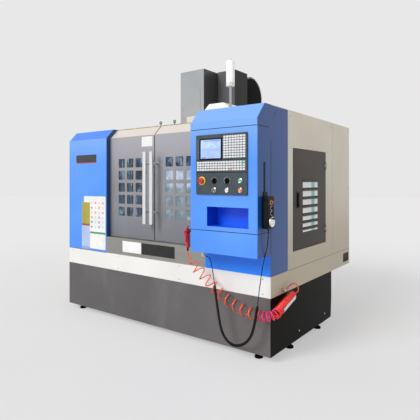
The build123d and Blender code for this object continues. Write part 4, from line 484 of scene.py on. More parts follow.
# The hood on the roof is white, and the door switch beside it has a dark front.
roof_coat = powder_coat(
    "powder_coat_roof",
    "#E4DCCB",
    "#DCD3C0",
    0.42,
    zones=[
        ("#F8F8F6", (("Z", 1732, FAR), ("Y", 190, 490))),
        ("#26272A", (("X", 1040, 1270), ("Y", 110, 170), ("Z", 1691.3, 1740))),
    ],
)
door_coat = powder_coat(
    "powder_coat_door_grey",
    "#838388",
    "#8E8E91",
    0.3,
    # painted reflection: the doors' slope in pale beige-grey
    zones=[("#D9D2C6", (("Z", 1607, FAR),))],
    smudge="#9B9B9D",
    # painted reflection, paler towards the top, and painted shade, darker towards the bottom
    painted_light_fades=[("Z", 1150, 1600, "#ABA9AF", 0.8), ("Z", 1100, 740, "#6C6F76", 0.75)],
)
plinth_coat = powder_coat(
    "powder_coat_plinth",
    "#5E5C5C",
    "#696667",
    0.36,
    # painted shade on the plinth's right side
    zones=[("#0B0806", (("X", WIDTH - 2.5, FAR),))],
    smudge="#777475",
    # painted highlight, lighter towards the right end of the front
    painted_light_fades=[("X", 1500, 2150, "#6D6866", 0.6)],
    Specular_IOR_Level=0.04,
    Coat_Weight=0.0,
)
# The head cover's right side carries painted shade in dark grey.
hatch_coat = powder_coat(
    "powder_coat_head_grey", "#94989C", "#A8ABAE", 0.32, zones=[("#3C3C3E", (("X", 1236, FAR),))]
)
housing_coat = powder_coat(
    "powder_coat_magazine_grey",
    "#56575A",
    "#6B6C6E",
    0.28,
    # painted shade on the housing's right side
    zones=[("#30322D", (("X", 1433, FAR),))],
    Specular_IOR_Level=0.12,
    Coat_Weight=0.05,
)
print("powder coats made")

# %% [markdown]
# Stainless sheet on a machine is brushed along its length. The strokes are a fraction of a
# millimetre wide and far longer than that, so the noise is stretched a hundred times along X,
# and both the shine and the tone follow it. Ground steel on the table has the same strokes,
# only finer and harder, and cast iron under enamel is lumpy at a few millimetres.


# %% Metals
def brushed_metal(name, main, second, roughness, stretch, stroke_mm=2.0):
    """Metal with strokes: tone and roughness both follow one stretched noise."""
    material, shader, where = blank(name, Metallic=1.0)
    stroke = pattern(where, stroke_mm, 3, stretch, 0.6)
    cloud = pattern(where, 140, 3)
    clouded = (second, cloud, 0.55, 0.8, 0.5)
    tone = layered(where, main, (second, stroke, 0.3, 0.7), clouded)
    limits = {"Value": stroke, 1: 0.3, 2: 0.7, 3: roughness - 0.08, 4: roughness + 0.1}
    shine = add(where, "ShaderNodeMapRange", limits).outputs[0]
    linked(shader, Base_Color=tone, Roughness=shine)
    bumped(shader, stroke, 0.07, 0.15, edge_mm=1.0)
    return material


stainless = brushed_metal("stainless_brushed", "#96938E", "#ABA8A2", 0.38, (0.01, 1, 1))
ground_steel = brushed_metal("steel_ground", "#B4B5B6", "#C6C7C8", 0.28, (0.02, 1, 1), 1.5)
plated_steel = brushed_metal("steel_nickel_plated", "#B9B7B2", "#CFCDC8", 0.24, (1, 1, 1), 30)
anodised = brushed_metal("aluminium_anodised", "#E9EAEB", "#F6F6F6", 0.34, (1, 1, 0.02), 1.5)


def cast_enamel(name, main, second, roughness=0.45, **sockets):
    """Cast iron under brushed enamel: broad lumps of the casting, and a fine brush grain."""
    material, shader, where = blank(name, Roughness=roughness, IOR=1.5, **sockets)
    tone = layered(where, main, (second, pattern(where, 120, 3), 0.35, 0.7))
    linked(shader, Base_Color=tone)
    bumped(shader, pattern(where, 9, 4), 0.35, 0.8, edge_mm=3.0)
    return material


casting = cast_enamel("cast_iron_enamelled", "#7C8083", "#8B8F91")
motor_black = cast_enamel(
    "cast_aluminium_black", "#0B0B0C", "#131314", 0.5, Specular_IOR_Level=0.04
)
print("metals", stainless.name, ground_steel.name, plated_steel.name, casting.name)

# %% [markdown]
# Moulded plastics differ in their shine. ABS buttons are polished in the mould, a membrane
# foil is finely pebbled, and rubber on a cable is matt with a slight bloom. The recoil hose is
# polyurethane, which is glossy and lets a little light into its skin.


# %% Plastics and rubber
def moulded(name, main, second, roughness, grain_mm=1.5, bump=0.1, **sockets):
    """Moulded plastic: a pebble of grain_mm, and a tone that drifts a little."""
    material, shader, where = blank(name, Roughness=roughness, IOR=1.5, **sockets)
    tone = layered(where, main, (second, pattern(where, 25), 0.35, 0.65))
    linked(shader, Base_Color=tone)
    bumped(shader, pattern(where, grain_mm), bump, 0.2, edge_mm=0.8)
    return material


abs_red = moulded("abs_polished_red", "#D22B36", "#C42330", 0.25)
abs_yellow = moulded("abs_polished_yellow", "#F0D24A", "#E8C63A", 0.3)
abs_green = moulded("abs_polished_green", "#63D488", "#7FE0A0", 0.22)
abs_white = moulded("abs_polished_white", "#EFEFEC", "#E2E2DE", 0.25)
abs_orange = moulded("abs_polished_orange", "#EE8A4E", "#F09A60", 0.22)
abs_black = moulded(
    "abs_moulded_black", "#0C0C0E", "#151517", 0.36, 2.0, 0.2, Specular_IOR_Level=0.16
)
rubber = moulded("rubber_black", "#0B0B0C", "#131314", 0.55, 2.5, 0.3, Specular_IOR_Level=0.2)
bare_foil = moulded("label_foil_white", "#F1F1EF", "#E6E6E3", 0.3)

# The hose is orange while it hangs loose, pink where its turns crowd together at the corner,
# and a deeper red where they lie close.
hose_skin, shader, where = blank(
    "polyurethane_hose", Roughness=0.22, IOR=1.5, Subsurface_Weight=0.1, Subsurface_Scale=0.002
)
drift = pattern(where, 30)
red = layered(where, "#EE2A25", ("#F53C30", drift, 0.4, 0.6))
tone = layered(
    where,
    "#F4551F",
    ("#FF6A3C", drift, 0.4, 0.6),
    (red, (("X", 2203, FAR), ("Y", -40, 262))),
    ("#E23A72", (("X", 2118, 2250), ("Y", -200, 6))),
)
linked(shader, Base_Color=tone)
bumped(shader, pattern(where, 4), 0.08, 0.2)
print("plastics", abs_red.name, rubber.name, bare_foil.name, hose_skin.name)

# %% [markdown]
# The operator panel is one printed foil. Its keys are pads that stand two millimetres proud,
# so a test on Y tells key from ground. A key is 10 to 15 mm wide, and a grid of cells of that
# size gives each pad its own slight tint. The dark ground is finely pebbled.

# %% Operator panel foil
PANEL_FACE = -186
panel_foil, shader, where = blank("polyester_foil_slate", Roughness=0.38, IOR=1.5)
cell = add(where, "ShaderNodeMapping", {"Vector": where, "Scale": (60, 0.0, 60)})
cells = add(where, "ShaderNodeTexVoronoi", {"Vector": cell.outputs[0], "Scale": 1.0})
pads = layered(
    where,
    "#D8DADB",
    ("#ECECF0", cells.outputs["Color"]),
    ("#A9D8C4", (("X", 2088, 2125), ("Z", 1328, 1360))),
    ("#E0AEB4", (("X", 1985, 2020), ("Z", 1285, 1306))),
    ("#566066", (("X", 1720, 1745), ("Z", 1370, 1510))),
)
RAISED = ("Y", -400, PANEL_FACE - 0.6)
tone = layered(
    where,
    "#333F45",
    ("#3E4B52", pattern(where, 60), 0.3, 0.7),
    (pads, (RAISED, ("Z", 1284, 1600))),
    ("#F0D24A", (RAISED, ("X", 1736, 1800), ("Z", 1190, 1254))),
)
linked(shader, Base_Color=tone)
bumped(shader, pattern(where, 1.5), 0.12, 0.15, edge_mm=0.8)
print("panel foil with", len(panel_foil.node_tree.nodes), "nodes")

# %% [markdown]
# The screen is lit from behind, so part of its colour is emission. The page is a generic one:
# a pale ground, a darker title bar, two ruled lines and a soft field of green on the left, all
# from tests on X and Z.

# %% Screen
screen_lit, shader, where = blank(
    "lcd_screen", Roughness=0.12, IOR=1.5, Emission_Strength=0.35
)
page = layered(where, "#8CA8E6", ("#A6BEF0", pattern(where, 90), 0.35, 0.65))
green = layered(where, page, ("#BFEBD0", pattern(where, 45), 0.5, 0.7, 0.55))
page = layered(
    where,
    page,
    (green, (("X", 1770, 1880), ("Z", 1450, 1486))),
    ("#7F86D8", (("X", 1780, 1912), ("Z", 1489, 1496))),
    ("#8C8CE0", (("X", 1768, 1910), ("Z", 1431, 1435))),
    ("#9AA0E4", (("X", 1762, 1918), ("Z", 1385, 1388))),
    ("#5F66C8", (("X", 1762, 1800), ("Z", 1377, 1383))),
)
linked(shader, Base_Color=page, Emission_Color=page)
print("screen with", len(screen_lit.node_tree.nodes), "nodes")

# %% [markdown]
# The windows are polycarbonate with a dried film of coolant on their inner side, which streaks
# downwards. Part of the light goes through, and the pane's colour gives back the rest: dark
# blue with streaks on the left door and along the top, whose palest streaks are painted
# reflection, and on the right door's lower panes a pale painted reflection, brightest over
# the middle rows.

# %% Window film
window_pane, shader, where = blank(
    "polycarbonate_with_film_and_painted_reflection", IOR=1.58, Transmission_Weight=0.35, Roughness=0.08
)
streak = pattern(where, 42, 3, (1, 1, 0.16), 0.65)
blotch = pattern(where, 75, 3, (1, 1, 1), 0.6)
# dark blue pane with film streaks; the palest streaks are painted reflection
dark_streaked_pane = layered(
    where,
    "#131E2A",
    ("#365877", streak, 0.44, 0.56),
    ("#6F8CA6", blotch, 0.56, 0.64),
    ("#B9CAD6", streak, 0.60, 0.66),
)
# painted reflection, brightest band over the right door's middle rows
painted_reflection_bright = layered(where, "#AFC6DE", ("#DCE8F4", blotch, 0.40, 0.58))
# painted reflection: the pale tone of the right door's lower panes
thick = layered(
    where,
    "#8199A4",
    ("#A8BEC6", blotch, 0.42, 0.6),
    (painted_reflection_bright, gradual(where, "Z", 1150, 1195)),
)
# where the painted reflection shows: the right door, below its top rows
right_door_part = beyond(where, "X", 1150)
low_part = gradual(where, "Z", 1322, 1300)
pale = combined(where, "MULTIPLY", right_door_part, low_part)
linked(shader, Base_Color=layered(where, dark_streaked_pane, (thick, pale)))
print("window film with", len(window_pane.node_tree.nodes), "nodes")

# %% [markdown]
# The electrical door is powder-coated in dark brown, with painted shade that deepens towards
# its bottom and painted shade in its slots, a black latch plate and hinges in the colour of the
# wall. The lamp's lens is opal polycarbonate on a plated pole, and it glows a little.

# %% Louvred door and lamp
louvre_coat, shader, where = blank(
    "powder_coat_door_with_louvres", Roughness=0.36, IOR=1.5, Specular_IOR_Level=0.2
)
tone = layered(
    where,
    "#4A413B",
    ("#3E3631", pattern(where, 320), 0.3, 0.7),
    # painted shade, darker towards the bottom
    ("#2A2421", gradual(where, "Z", 1150, 720, 0.8)),
    # painted shade in the slots
    ("#2A2522", (("X", 2190, WIDTH - 1.0), ("Y", 499.5, 796.5))),
    ("#0E0E0F", (("X", WIDTH + 0.2, FAR), ("Y", 400, 450), ("Z", 1015, 1150))),
    ("#CFC6B4", (("X", WIDTH + 0.3, FAR), ("Y", 930, 990))),
)
linked(shader, Base_Color=tone)
bumped(shader, pattern(where, 5), 0.16, 0.4, edge_mm=2.0)

lamp_lens, shader, where = blank(
    "polycarbonate_opal",
    Roughness=0.2,
    IOR=1.5,
    Subsurface_Weight=0.3,
    Subsurface_Scale=0.01,
    Emission_Color=colour("#FFFFFF"),
    Emission_Strength=0.12,
)
pole = inside(where, ("Z", 1700, 1933))
drift = ("#F1F1EF", pattern(where, 60), 0.3, 0.7)
tone = layered(where, "#FBFBFA", drift, ("#8E9092", pole))
linked(shader, Base_Color=tone, Metallic=pole)
print("made", louvre_coat.name, "and", lamp_lens.name)

# %% [markdown]
# The plate in the electrical cabinet is zinc-plated sheet. Its drives are moulded in dark grey,
# the relays in white and the terminals in green. One material tells them apart by how far they
# stand off the plate and how far they are under its top.

# %% Cabinet plate
board_low, board_high = ((np.array(c) - CORNER) * 1000 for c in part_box("mounting_plate"))
board_top = float(board_high[2])
board_face = float(board_low[0]) + 3.5
cabinet_plate, shader, where = blank("zinc_plate_with_devices", Roughness=0.42, IOR=1.5)
blank_labels = (("X", board_face + 149, FAR), ("Z", board_top - 130, board_top - 85))
plastic = layered(
    where,
    "#33363A",
    ("#3D4045", pattern(where, 90), 0.3, 0.7),
    ("#D4D6D8", blank_labels),
    ("#D6D7D2", (("Z", board_top - 480, board_top - 340),)),
    ("#5F9A72", beyond(where, "Z", board_top - 485, -1)),
)
devices = beyond(where, "X", board_face)
zinc = ("#C4C5C4", pattern(where, 45, 3), 0.35, 0.65)
tone = layered(where, "#B3B5B6", zinc, (plastic, devices))
linked(shader, Base_Color=tone, Metallic=combined(where, "SUBTRACT", 1.0, devices))
bumped(shader, pattern(where, 3), 0.1, 0.2, edge_mm=1.5)
print("cabinet plate from Z", round(float(board_low[2])), "to", round(board_top))

# %% [markdown]
# ## Dressing the CAD nodes
# A node whose shape is right keeps it, and only its material slot is filled. The table below
# says which finish each one takes.

# %% Finish of each CAD node
FINISH = {
    blue_coat: "left_front_panel right_corner_panel control_cabinet control_hood",
    cream_coat: "left_side_panel right_side_panel back_panel",
    white_coat: "lower_band",
    roof_coat: "roof_panel",
    door_coat: "left_door right_door",
    plinth_coat: "base_skirt",
    hatch_coat: "head_cover",
    housing_coat: "magazine_housing",
    louvre_coat: "cabinet_door",
    stainless: "door_sill chip_tray rear_liner electrical_box",
    ground_steel: "table spindle door_rails",
    plated_steel: "air_fitting cable_connector key_switch",
    cabinet_plate: "mounting_plate",
    anodised: "left_door_handle right_door_handle pendant_handwheel",
    casting: "bed_casting column headstock saddle",
    motor_black: "spindle_motor magazine_disc levelling_feet",
    abs_red: "emergency_stop pendant_stop air_gun air_gun_trigger",
    abs_green: "cycle_start_button",
    abs_white: "program_stop_button",
    abs_orange: "feed_hold_button",
    abs_black: "pendant_case pendant_axis_knob pendant_step_knob mode_selector feed_selector "
    "cabinet_latch",
    panel_foil: "control_panel",
    screen_lit: "screen",
    window_pane: "left_door_window right_door_window",
    lamp_lens: "signal_tower",
    hose_skin: "hose_loose_coil hose_tight_coil hose_tail",
    rubber: "pendant_lead_upper pendant_curly_cord pendant_lead_lower",
}
for material, names in FINISH.items():
    for node in names.split():
        NODES[node].data.materials.clear()
        NODES[node].data.materials.append(material)
dressed = {n for names in FINISH.values() for n in names.split()}
print("nodes dressed", len(dressed), "left over", sorted(set(NODES) - dressed))

# %% [markdown]
# ## The pendant's cord
# A hand pendant hangs on a thin lead that turns into a curly cord. The wire is the same all
# along: it runs straight out of the case, is wound tightly to 20 mm over the slack middle, and
# runs straight again to its socket. The route's points are the CAD tube's, in metres.

# %% Pendant cord
CORD_ROUTE = [
    (2.225, -0.079, 0.9017),
    (2.225, -0.079, 0.858),
    (2.219, -0.080, 0.800),
    (2.205, -0.082, 0.742),
    (2.190, -0.084, 0.684),
    (2.180, -0.086, 0.626),
    (2.173, -0.088, 0.568),
    (2.165, -0.091, 0.512),
    (2.161, -0.0933, 0.466),
    (2.155, -0.094, 0.420),
    (2.149, -0.0947, 0.374),
    (2.139, -0.096, 0.316),
    (2.127, -0.098, 0.258),
    (2.110, -0.100, 0.202),
    (2.078, -0.103, 0.156),
    (2.034, -0.107, 0.124),
    (1.985, -0.111, 0.112),
    (1.938, -0.116, 0.128),
    (1.901, -0.121, 0.168),
    (1.880, -0.124, 0.222),
    (1.867, -0.125, 0.280),
    (1.857, -0.126, 0.340),
    (1.8485, -0.1272, 0.398),
    (1.839, -0.1284, 0.456),
    (1.831, -0.129, 0.516),
    (1.827, -0.1293, 0.546),
    (1.820, -0.1305, 0.586),
    (1.8135, -0.132, 0.626),
    (1.808, -0.134, 0.660),
    (1.798, -0.1365, 0.684),
    (1.780, -0.138, 0.697),
    (1.7643, -0.138, 0.697),
]
WIRE = 0.006
line, at = smooth_line(np.array(CORD_ROUTE) + CORNER, 0.0004)
upper_end = at[np.argmin(np.linalg.norm(line - place((2155, -94, 420)), axis=1))]
lower_end = at[np.argmin(np.linalg.norm(line - place((1831, -129, 516)), axis=1))]
coiled = ramp(at, upper_end, upper_end + 0.02) * (1 - ramp(at, lower_end - 0.02, lower_end))
radius = 0.0068 * coiled
pitch = 0.0068 + 0.0932 * (1 - coiled)
wire_line = wound(line, at, radius, pitch)
wire_points = thinned(wire_line, 12, pitch, at)
pendant_cord = nurbs("pendant_cord", wire_points, WIRE, rubber)
pendant_cord.data.bevel_resolution = 2
pendant_cord.data.resolution_u = 2
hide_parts("pendant_lead_upper", "pendant_curly_cord", "pendant_lead_lower")

# %% [markdown]
# ## The recoil hose
# The air gun's hose is made as a spring. Its loose part hangs in about a dozen open turns, and
# the rest sits close-wound on the side of the plinth, with a short tail to its fitting. One
# spline makes it all: only the pitch and the radius change along the route.

# %% Recoil hose
HOSE_ROUTE = [
    (1.614, -0.153, 0.744),
    (1.614, -0.153, 0.702),
    (1.624, -0.146, 0.660),
    (1.644, -0.128, 0.620),
    (1.670, -0.102, 0.580),
    (1.700, -0.078, 0.541),
    (1.732, -0.060, 0.503),
    (1.769, -0.050, 0.467),
    (1.812, -0.046, 0.434),
    (1.858, -0.045, 0.404),
    (1.906, -0.045, 0.379),
    (1.956, -0.045, 0.359),
    (2.008, -0.046, 0.344),
    (2.060, -0.0465, 0.333),
    (2.108, -0.045, 0.328),
    (2.152, -0.048, 0.329),
    (2.193, -0.056, 0.333),
    (2.226, -0.047, 0.339),
    (2.24345, -0.014, 0.34695),
    (2.243, 0.022, 0.357),
    (2.2424, 0.070, 0.3704),
    (2.2416, 0.134, 0.3883),
    (2.2408, 0.198, 0.4061),
    (2.240, 0.262, 0.424),
    (2.251, 0.283, 0.4265),
    (2.260, 0.298, 0.440),
    (2.256, 0.306, 0.462),
    (2.246, 0.294, 0.488),
    (2.236, 0.264, 0.498),
    (2.228, 0.230, 0.490),
    (2.222, 0.196, 0.470),
    (2.222, 0.1663, 0.470),
]
HOSE = 0.008
COIL_RADIUS = 0.028
line, at = smooth_line(np.array(HOSE_ROUTE) + CORNER, 0.0006)


def reached(point):
    """How far along the route the point nearest to a machine point is."""
    return at[np.argmin(np.linalg.norm(line - place(point), axis=1))]


tight_from, tight_to = reached((2243, 22, 357)), reached((2240, 250, 420))
growing = ramp(at, 0.03, 0.16) * (1 - ramp(at, tight_to - 0.01, tight_to + 0.03))
radius = COIL_RADIUS * growing
tight = ramp(at, tight_from - 0.05, tight_from) * (1 - ramp(at, tight_to, tight_to + 0.03))
# The loose turns crowd together where they come round the corner to the wound part.
crowded = ramp(at, reached((2108, -45, 328)), reached((2152, -48, 329))) * (1 - tight)
pitch = 0.066 - 0.042 * crowded - 0.0578 * tight
radius = radius + 0.010 * growing * (1 - tight) * (1 - 0.8 * crowded)
hose_line = wound(line, at, radius, pitch)
hose_points = thinned(hose_line, 14, pitch, at)
air_hose = nurbs("air_hose", hose_points, HOSE, hose_skin)
air_hose.data.resolution_u = 3
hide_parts("hose_loose_coil", "hose_tight_coil", "hose_tail")

# %% [markdown]
# ## Small metalwork
# Panels are held by button-head screws. One head is a turned profile: a low dome with a socket
# sunk in its middle. The same grid is repeated at every place in one array, so a row of
# screws is a single mesh. They sit on the panel's face and ride on its body.


# %% Turned pieces and screws
def turned(name, profile, facing, centres, material, body="frame", count=24, scale=1.0):
    """A turned piece at each centre: the profile's radius and height, carried round."""
    grid = turned_grid(profile, count) * np.array(scale)
    return surface(name, turned_to(grid, facing, centres), body, material)


def rows(fixed, axis, first, second):
    """Points at every pair of two lists, with the third coordinate fixed on an axis."""
    a, b = np.meshgrid(first, second, indexing="ij")
    points = np.stack([a.ravel(), b.ravel()], axis=1)
    return np.insert(points, "XYZ".index(axis), fixed, axis=1)


SCREW = [(0, 1.4), (2.2, 1.4), (2.4, 3.0), (3.6, 3.4), (5.2, 2.6), (6.2, 1.0), (6.4, -0.4)]
ROOF_ROWS = (600, 1100, 1520)
side_rows = [
    *rows(WIDTH, "X", (290, 1085), (640, 1690)),
    *rows(WIDTH, "X", (1163, 1525), (640, 1150, 1690)),
]
# A head is 12.8 mm across times its size. The left side and the back may stand against a wall,
# so their screws are nearly flush.
NEAR_WALL = 0.2
for name, facing, places, size, lift, body, material in (
    ("plinth_side", "right", [(WIDTH, 444, 104), (WIDTH, 944, 107)], 1, 1, "frame", plated_steel),
    ("band", "front", rows(0, "Y", (60, 700, 1400, 2140), (460, 560)), 0.8, 1, "frame", plated_steel),
    ("right_side", "right", side_rows, 0.9, 1, "frame", plated_steel),
    ("left_side", "left", rows(0, "X", (180, 860, 1520), (620, 1100, 1560)), 0.9, NEAR_WALL, "frame",
     plated_steel),
    ("back", "back", rows(1563, "Y", (60, 760, 1440, 2140), (500, 1080, 1640)), 0.9, NEAR_WALL,
     "frame", plated_steel),
    ("hatch", "front", rows(528, "Y", (1006, 1185), (1800, 1925, 2050)), 0.8, 1, "head", plated_steel),
    ("hood", "top", rows(1729, "Z", (1690, 1900, 2170), (60, *ROOF_ROWS)), 0.9, 1, "frame",
     plated_steel),
    ("roof", "top", rows(1691, "Z", (40, 500, 860), (170, *ROOF_ROWS)), 0.9, 1, "frame", plated_steel),
    ("panel", "front", rows(PANEL_FACE, "Y", (1722, 2125), (1136, 1272, 1528)), 0.55, 1, "frame",
     abs_black),
):
    scale = (size, size, size * lift)
    turned(f"screws_{name}", SCREW, facing, places, material, body, 16, scale)
    print("screws", name, len(places))

# %% [markdown]
# ## Seals in the seams
# Where two panels meet there is a groove with a rubber strip in it, which reads as a thin dark
# line. A strip is a low rounded lid laid in the groove. The seam lines are where the
# photograph shows them.

# %% Seal strips
SEAL = 4.2
STRIP_DEPTH = 1.6


def strip(name, facing, centre, across, up, body="frame", proud=0.5, material=rubber):
    """A flat strip of across by up millimetres that stands proud of the face by 0.5 mm."""
    grid = plate_grid(across, up, STRIP_DEPTH, min(across, up) * 0.45, 0.4)
    low = np.array(centre, float) - np.array(FACING[facing][2]) * (STRIP_DEPTH - proud)
    return surface(name, turned_to(grid, facing, [low]), body, material)


def swivelled(grid, turn):
    """A local grid turned by an angle in its own plane."""
    cosine, sine = np.cos(turn), np.sin(turn)
    flat = grid[..., :2] @ np.array([[cosine, sine], [-sine, cosine]])
    return np.concatenate([flat, grid[..., 2:]], axis=-1)


for name, *shape in (
    ("seal_hood_front", "front", (1928, -176, 1576), 536, SEAL),
    ("seal_hood_side", "right", (2200, -100, 1576), 148, SEAL),
    ("seal_box_front", "front", (1928, -176, 882.5), 536, SEAL),
    ("seal_box_side", "right", (2200, -86, 882.5), 172, SEAL),
    ("seal_box_back", "right", (2200, 2, 1110), SEAL, 760),
    ("seal_right_side", "right", (2200, 1124, 1153), 2, 1140, "frame", 0.5, casting),
    ("seal_band_side", "right", (2200, 908, 581), 1305, 2.4),
    ("cable_slot_lip_0", "right", (2200, -92, 1229), 6, 236, "frame", 1.5),
    ("cable_slot_lip_14", "right", (2200, -78, 1229), 6, 236, "frame", 1.5),
    ("seal_band_front", "front", (272, 0, 581), 540, SEAL),
):
    strip(name, *shape)

# The control box's side has a short slanting joint under the roof, from the hood to its corner.
slant = swivelled(plate_grid(34, SEAL, 1.2, 1.2, 0.3), np.radians(55))
surface("seal_slant", turned_to(slant, "right", [(2199.4, 61, 1676)]), "frame", rubber)

# Where the two doors meet, the right one carries a rubber lip. On their slope it goes on up to
# the roof, turned by 45 degrees.
DOOR_SEAM, DOOR_FACE, SLOPE_FOOT, HALF_SLOPE = 1094.5, 46.5, 1605, 39.2
LIP_WIDTH = 6
strip("seal_doors", "front", (DOOR_SEAM, DOOR_FACE, 1165), LIP_WIDTH, 868, "right_door", 1.2)
across, up, out = np.moveaxis(plate_grid(LIP_WIDTH, 108, STRIP_DEPTH, 2.4, 0.4), -1, 0)
lip = np.stack([across, (up - out) * np.sqrt(0.5), (up + out) * np.sqrt(0.5)], axis=-1)
lip += np.array((DOOR_SEAM, DOOR_FACE + HALF_SLOPE, SLOPE_FOOT + HALF_SLOPE))
surface("seal_doors_slope", [lip], "right_door", rubber)
print("seals laid, the doors' lip up to Z", round(float(lip[..., 2].max())), "mm")

# %% [markdown]
# ## Printed fields
# The machine's name plate, its sheets of notes and the plate on the sill are left bare here:
# plain fields of colour on a thin foil, as a blank machine would have them. A foil is a lid
# 0.6 mm thick with a small radius at its corners.


# %% Foils and plates
def printed(name, main, second, *fields, roughness=0.35):
    """A printed foil: a slightly uneven ground with plain fields laid on it."""
    material, shader, where = blank(name, Roughness=roughness, IOR=1.5)
    ground = (second, pattern(where, 70, 3), 0.35, 0.7)
    tone = layered(where, main, ground, *fields)
    linked(shader, Base_Color=tone)
    return material


blocks = []
for i, x in enumerate((340, 392, 444, 496)):
    for j, z in enumerate(range(800, 1060, 44)):
        hexes = ("#E59AA0", "#D9D9D6")[(i + j) % 2] if z > 880 else ("#8F9BE0", "#D9D9D6")[i % 2]
        blocks.append((hexes, (("X", x - 12, x + 12), ("Z", z - 10, z + 10))))
green_bar = ("#3F9A6B", (("X", 316, 530), ("Z", 738, 756)))
notes_white = printed("foil_notes", "#F2F1EE", "#E4E4E2", green_bar, *blocks)
red_bar = ("#A83A30", (("Z", 800, 824),))
notes_olive = printed("foil_olive", "#A39A3C", "#B0A84C", red_bar, roughness=0.4)
notes_blue = printed("foil_pale_blue", "#B4C6E6", "#A6BBE0", ("#8FA6D6", (("Z", 590, 612),)))
red_line = ("#C04A4A", (("Z", 1386, 1394),))
name_dark = printed("plate_anodised_dark", "#2E3034", "#3A3C42", red_line, roughness=0.3)
sill_white = printed("plate_enamel_white", "#F4F4F2", "#E9E9E6", roughness=0.25)
sill_black = printed("plate_enamel_black", "#0E0E10", "#1A1A1C", roughness=0.25)
sill_face = (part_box("door_sill")[0].y - CORNER[1]) * 1000
for name, (x0, x1), (z0, z1), y, material, thick, corner, body in (
    ("sheet_notes", (224, 532), (600, 1081), 0, notes_white, 0.6, 4, "frame"),
    ("sheet_olive", (194, 313), (806, 1023), -0.6, notes_olive, 0.6, 4, "frame"),
    ("sheet_blue", (194, 313), (589, 806), -0.6, notes_blue, 0.6, 4, "frame"),
    ("plate_left_panel", (110, 404), (1386, 1465), 0, name_dark, 1.6, 3, "frame"),
    ("plate_sill_white", (758, 986), (611, 704), sill_face, sill_white, 1.5, 2, "frame"),
    ("plate_sill_black", (986, 1354), (611, 704), sill_face, sill_black, 1.5, 2, "frame"),
    ("sheet_door", (944, 1068), (1512, 1595), DOOR_FACE, bare_foil, 0.6, 4, "left_door"),
):
    grid = plate_grid(x1 - x0, z1 - z0, thick, corner, thick * 0.5)
    middle = ((x0 + x1) / 2, y, (z0 + z1) / 2)
    surface(name, turned_to(grid, "front", [middle]), body, material)
print("foils laid; the sill's face is at Y", round(sill_face, 1), "mm")

# %% [markdown]
# ## Controls on the panel
# Rings, collars and index marks make a panel legible. Push buttons sit in bright rings, the
# stop button on a yellow collar, and each selector has short pale strokes round it. The
# strokes are small lids set out on an arc: centre plus radius times the cosine and sine.

# %% Rings, collars and index marks
buttons = [(x, PANEL_FACE, z) for x, z in ((2080, 1222), (1976, 1160), (2080, 1160))]
RING = [(12.6, 0), (12.6, 4.6), (14.2, 5.2), (16.4, 4.2), (17.2, 0.4), (17.2, -0.2)]
turned("button_rings", RING, "front", buttons, plated_steel, count=32)
COLLAR = [(21, -0.4), (21, 2.2), (22.5, 2.8), (28, 2.4), (29.5, 1.2), (29.5, -0.4)]
turned("stop_collar", COLLAR, "front", [(1768, PANEL_FACE - 1.5, 1222)], abs_yellow, count=40)
BEZEL = [(15.2, 0), (15.4, 1.6), (17.2, 2.2), (19.5, 1.4), (20.2, -0.2)]
knobs = [(1872, PANEL_FACE, 1222), (1976, PANEL_FACE, 1222)]
turned("selector_bezels", BEZEL, "front", knobs, abs_black, count=36)
KEY_RING = [(11.2, 0), (11.4, 4.4), (13.5, 5.0), (16.5, 3.6), (17.4, -0.2)]
turned("key_bezel", KEY_RING, "front", [(1872, PANEL_FACE, 1160)], plated_steel, count=36)


def strokes(stroke, radius, angles):
    """Local copies of a stroke on an arc, each pointing away from the arc's middle."""
    angles = np.asarray(angles)
    turns = np.stack([swivelled(stroke, a - np.pi / 2) for a in angles])
    places = np.stack([np.cos(angles), np.sin(angles), 0 * angles], axis=-1)
    return turns + radius * places[:, None, None]


MARK_CIRCLE = 24.5
stroke = plate_grid(1.8, 5.0, 0.5, 0.6, 0.15)
marks = [
    turned_to(strokes(stroke, MARK_CIRCLE, np.radians(np.linspace(*arc))), "front", [knob])
    for knob, arc in zip(knobs, ((30, 150, 5), (-30, 210, 11)))
]
surface("index_marks", np.concatenate(marks), "frame", bare_foil)

# A black bezel frames the screen, a millimetre proud of the foil.
ring_outer = plate_grid(188, 146, 2.0, 8, 0.8)[:5]
inner = np.repeat(plate_grid(171, 128, 2.0, 2, 0.1)[:1], 2, axis=0)
inner[0, :, 2], inner[1, :, 2] = 2.0, -0.2
bezel = np.concatenate([ring_outer, inner])
surface("screen_bezel", turned_to(bezel, "front", [(1840.5, PANEL_FACE, 1438)]), "frame", abs_black)
for name, x, z, across, up, proud in (
    ("panel_divider", 1923.5, 1279, 405, 4, 0.8),
    ("panel_divider_keys", 1936, 1447, 5, 172, 0.8),
    ("panel_divider_row", 1923.5, 1363, 405, 3, 0.6),
):
    strip(name, "front", (x, PANEL_FACE, z), across, up, proud=proud, material=abs_black)
print("index marks", sum(len(arc_marks) for arc_marks in marks))

# %% [markdown]
# ## Hand pendant
# The pendant's case is moulded in two halves with a soft grip. Its stop button has a yellow
# collar, its two selectors sit in bright skirts, and the hand wheel carries a scale ring with
# a hundred strokes, of which every fourth is drawn here so that they stay apart.

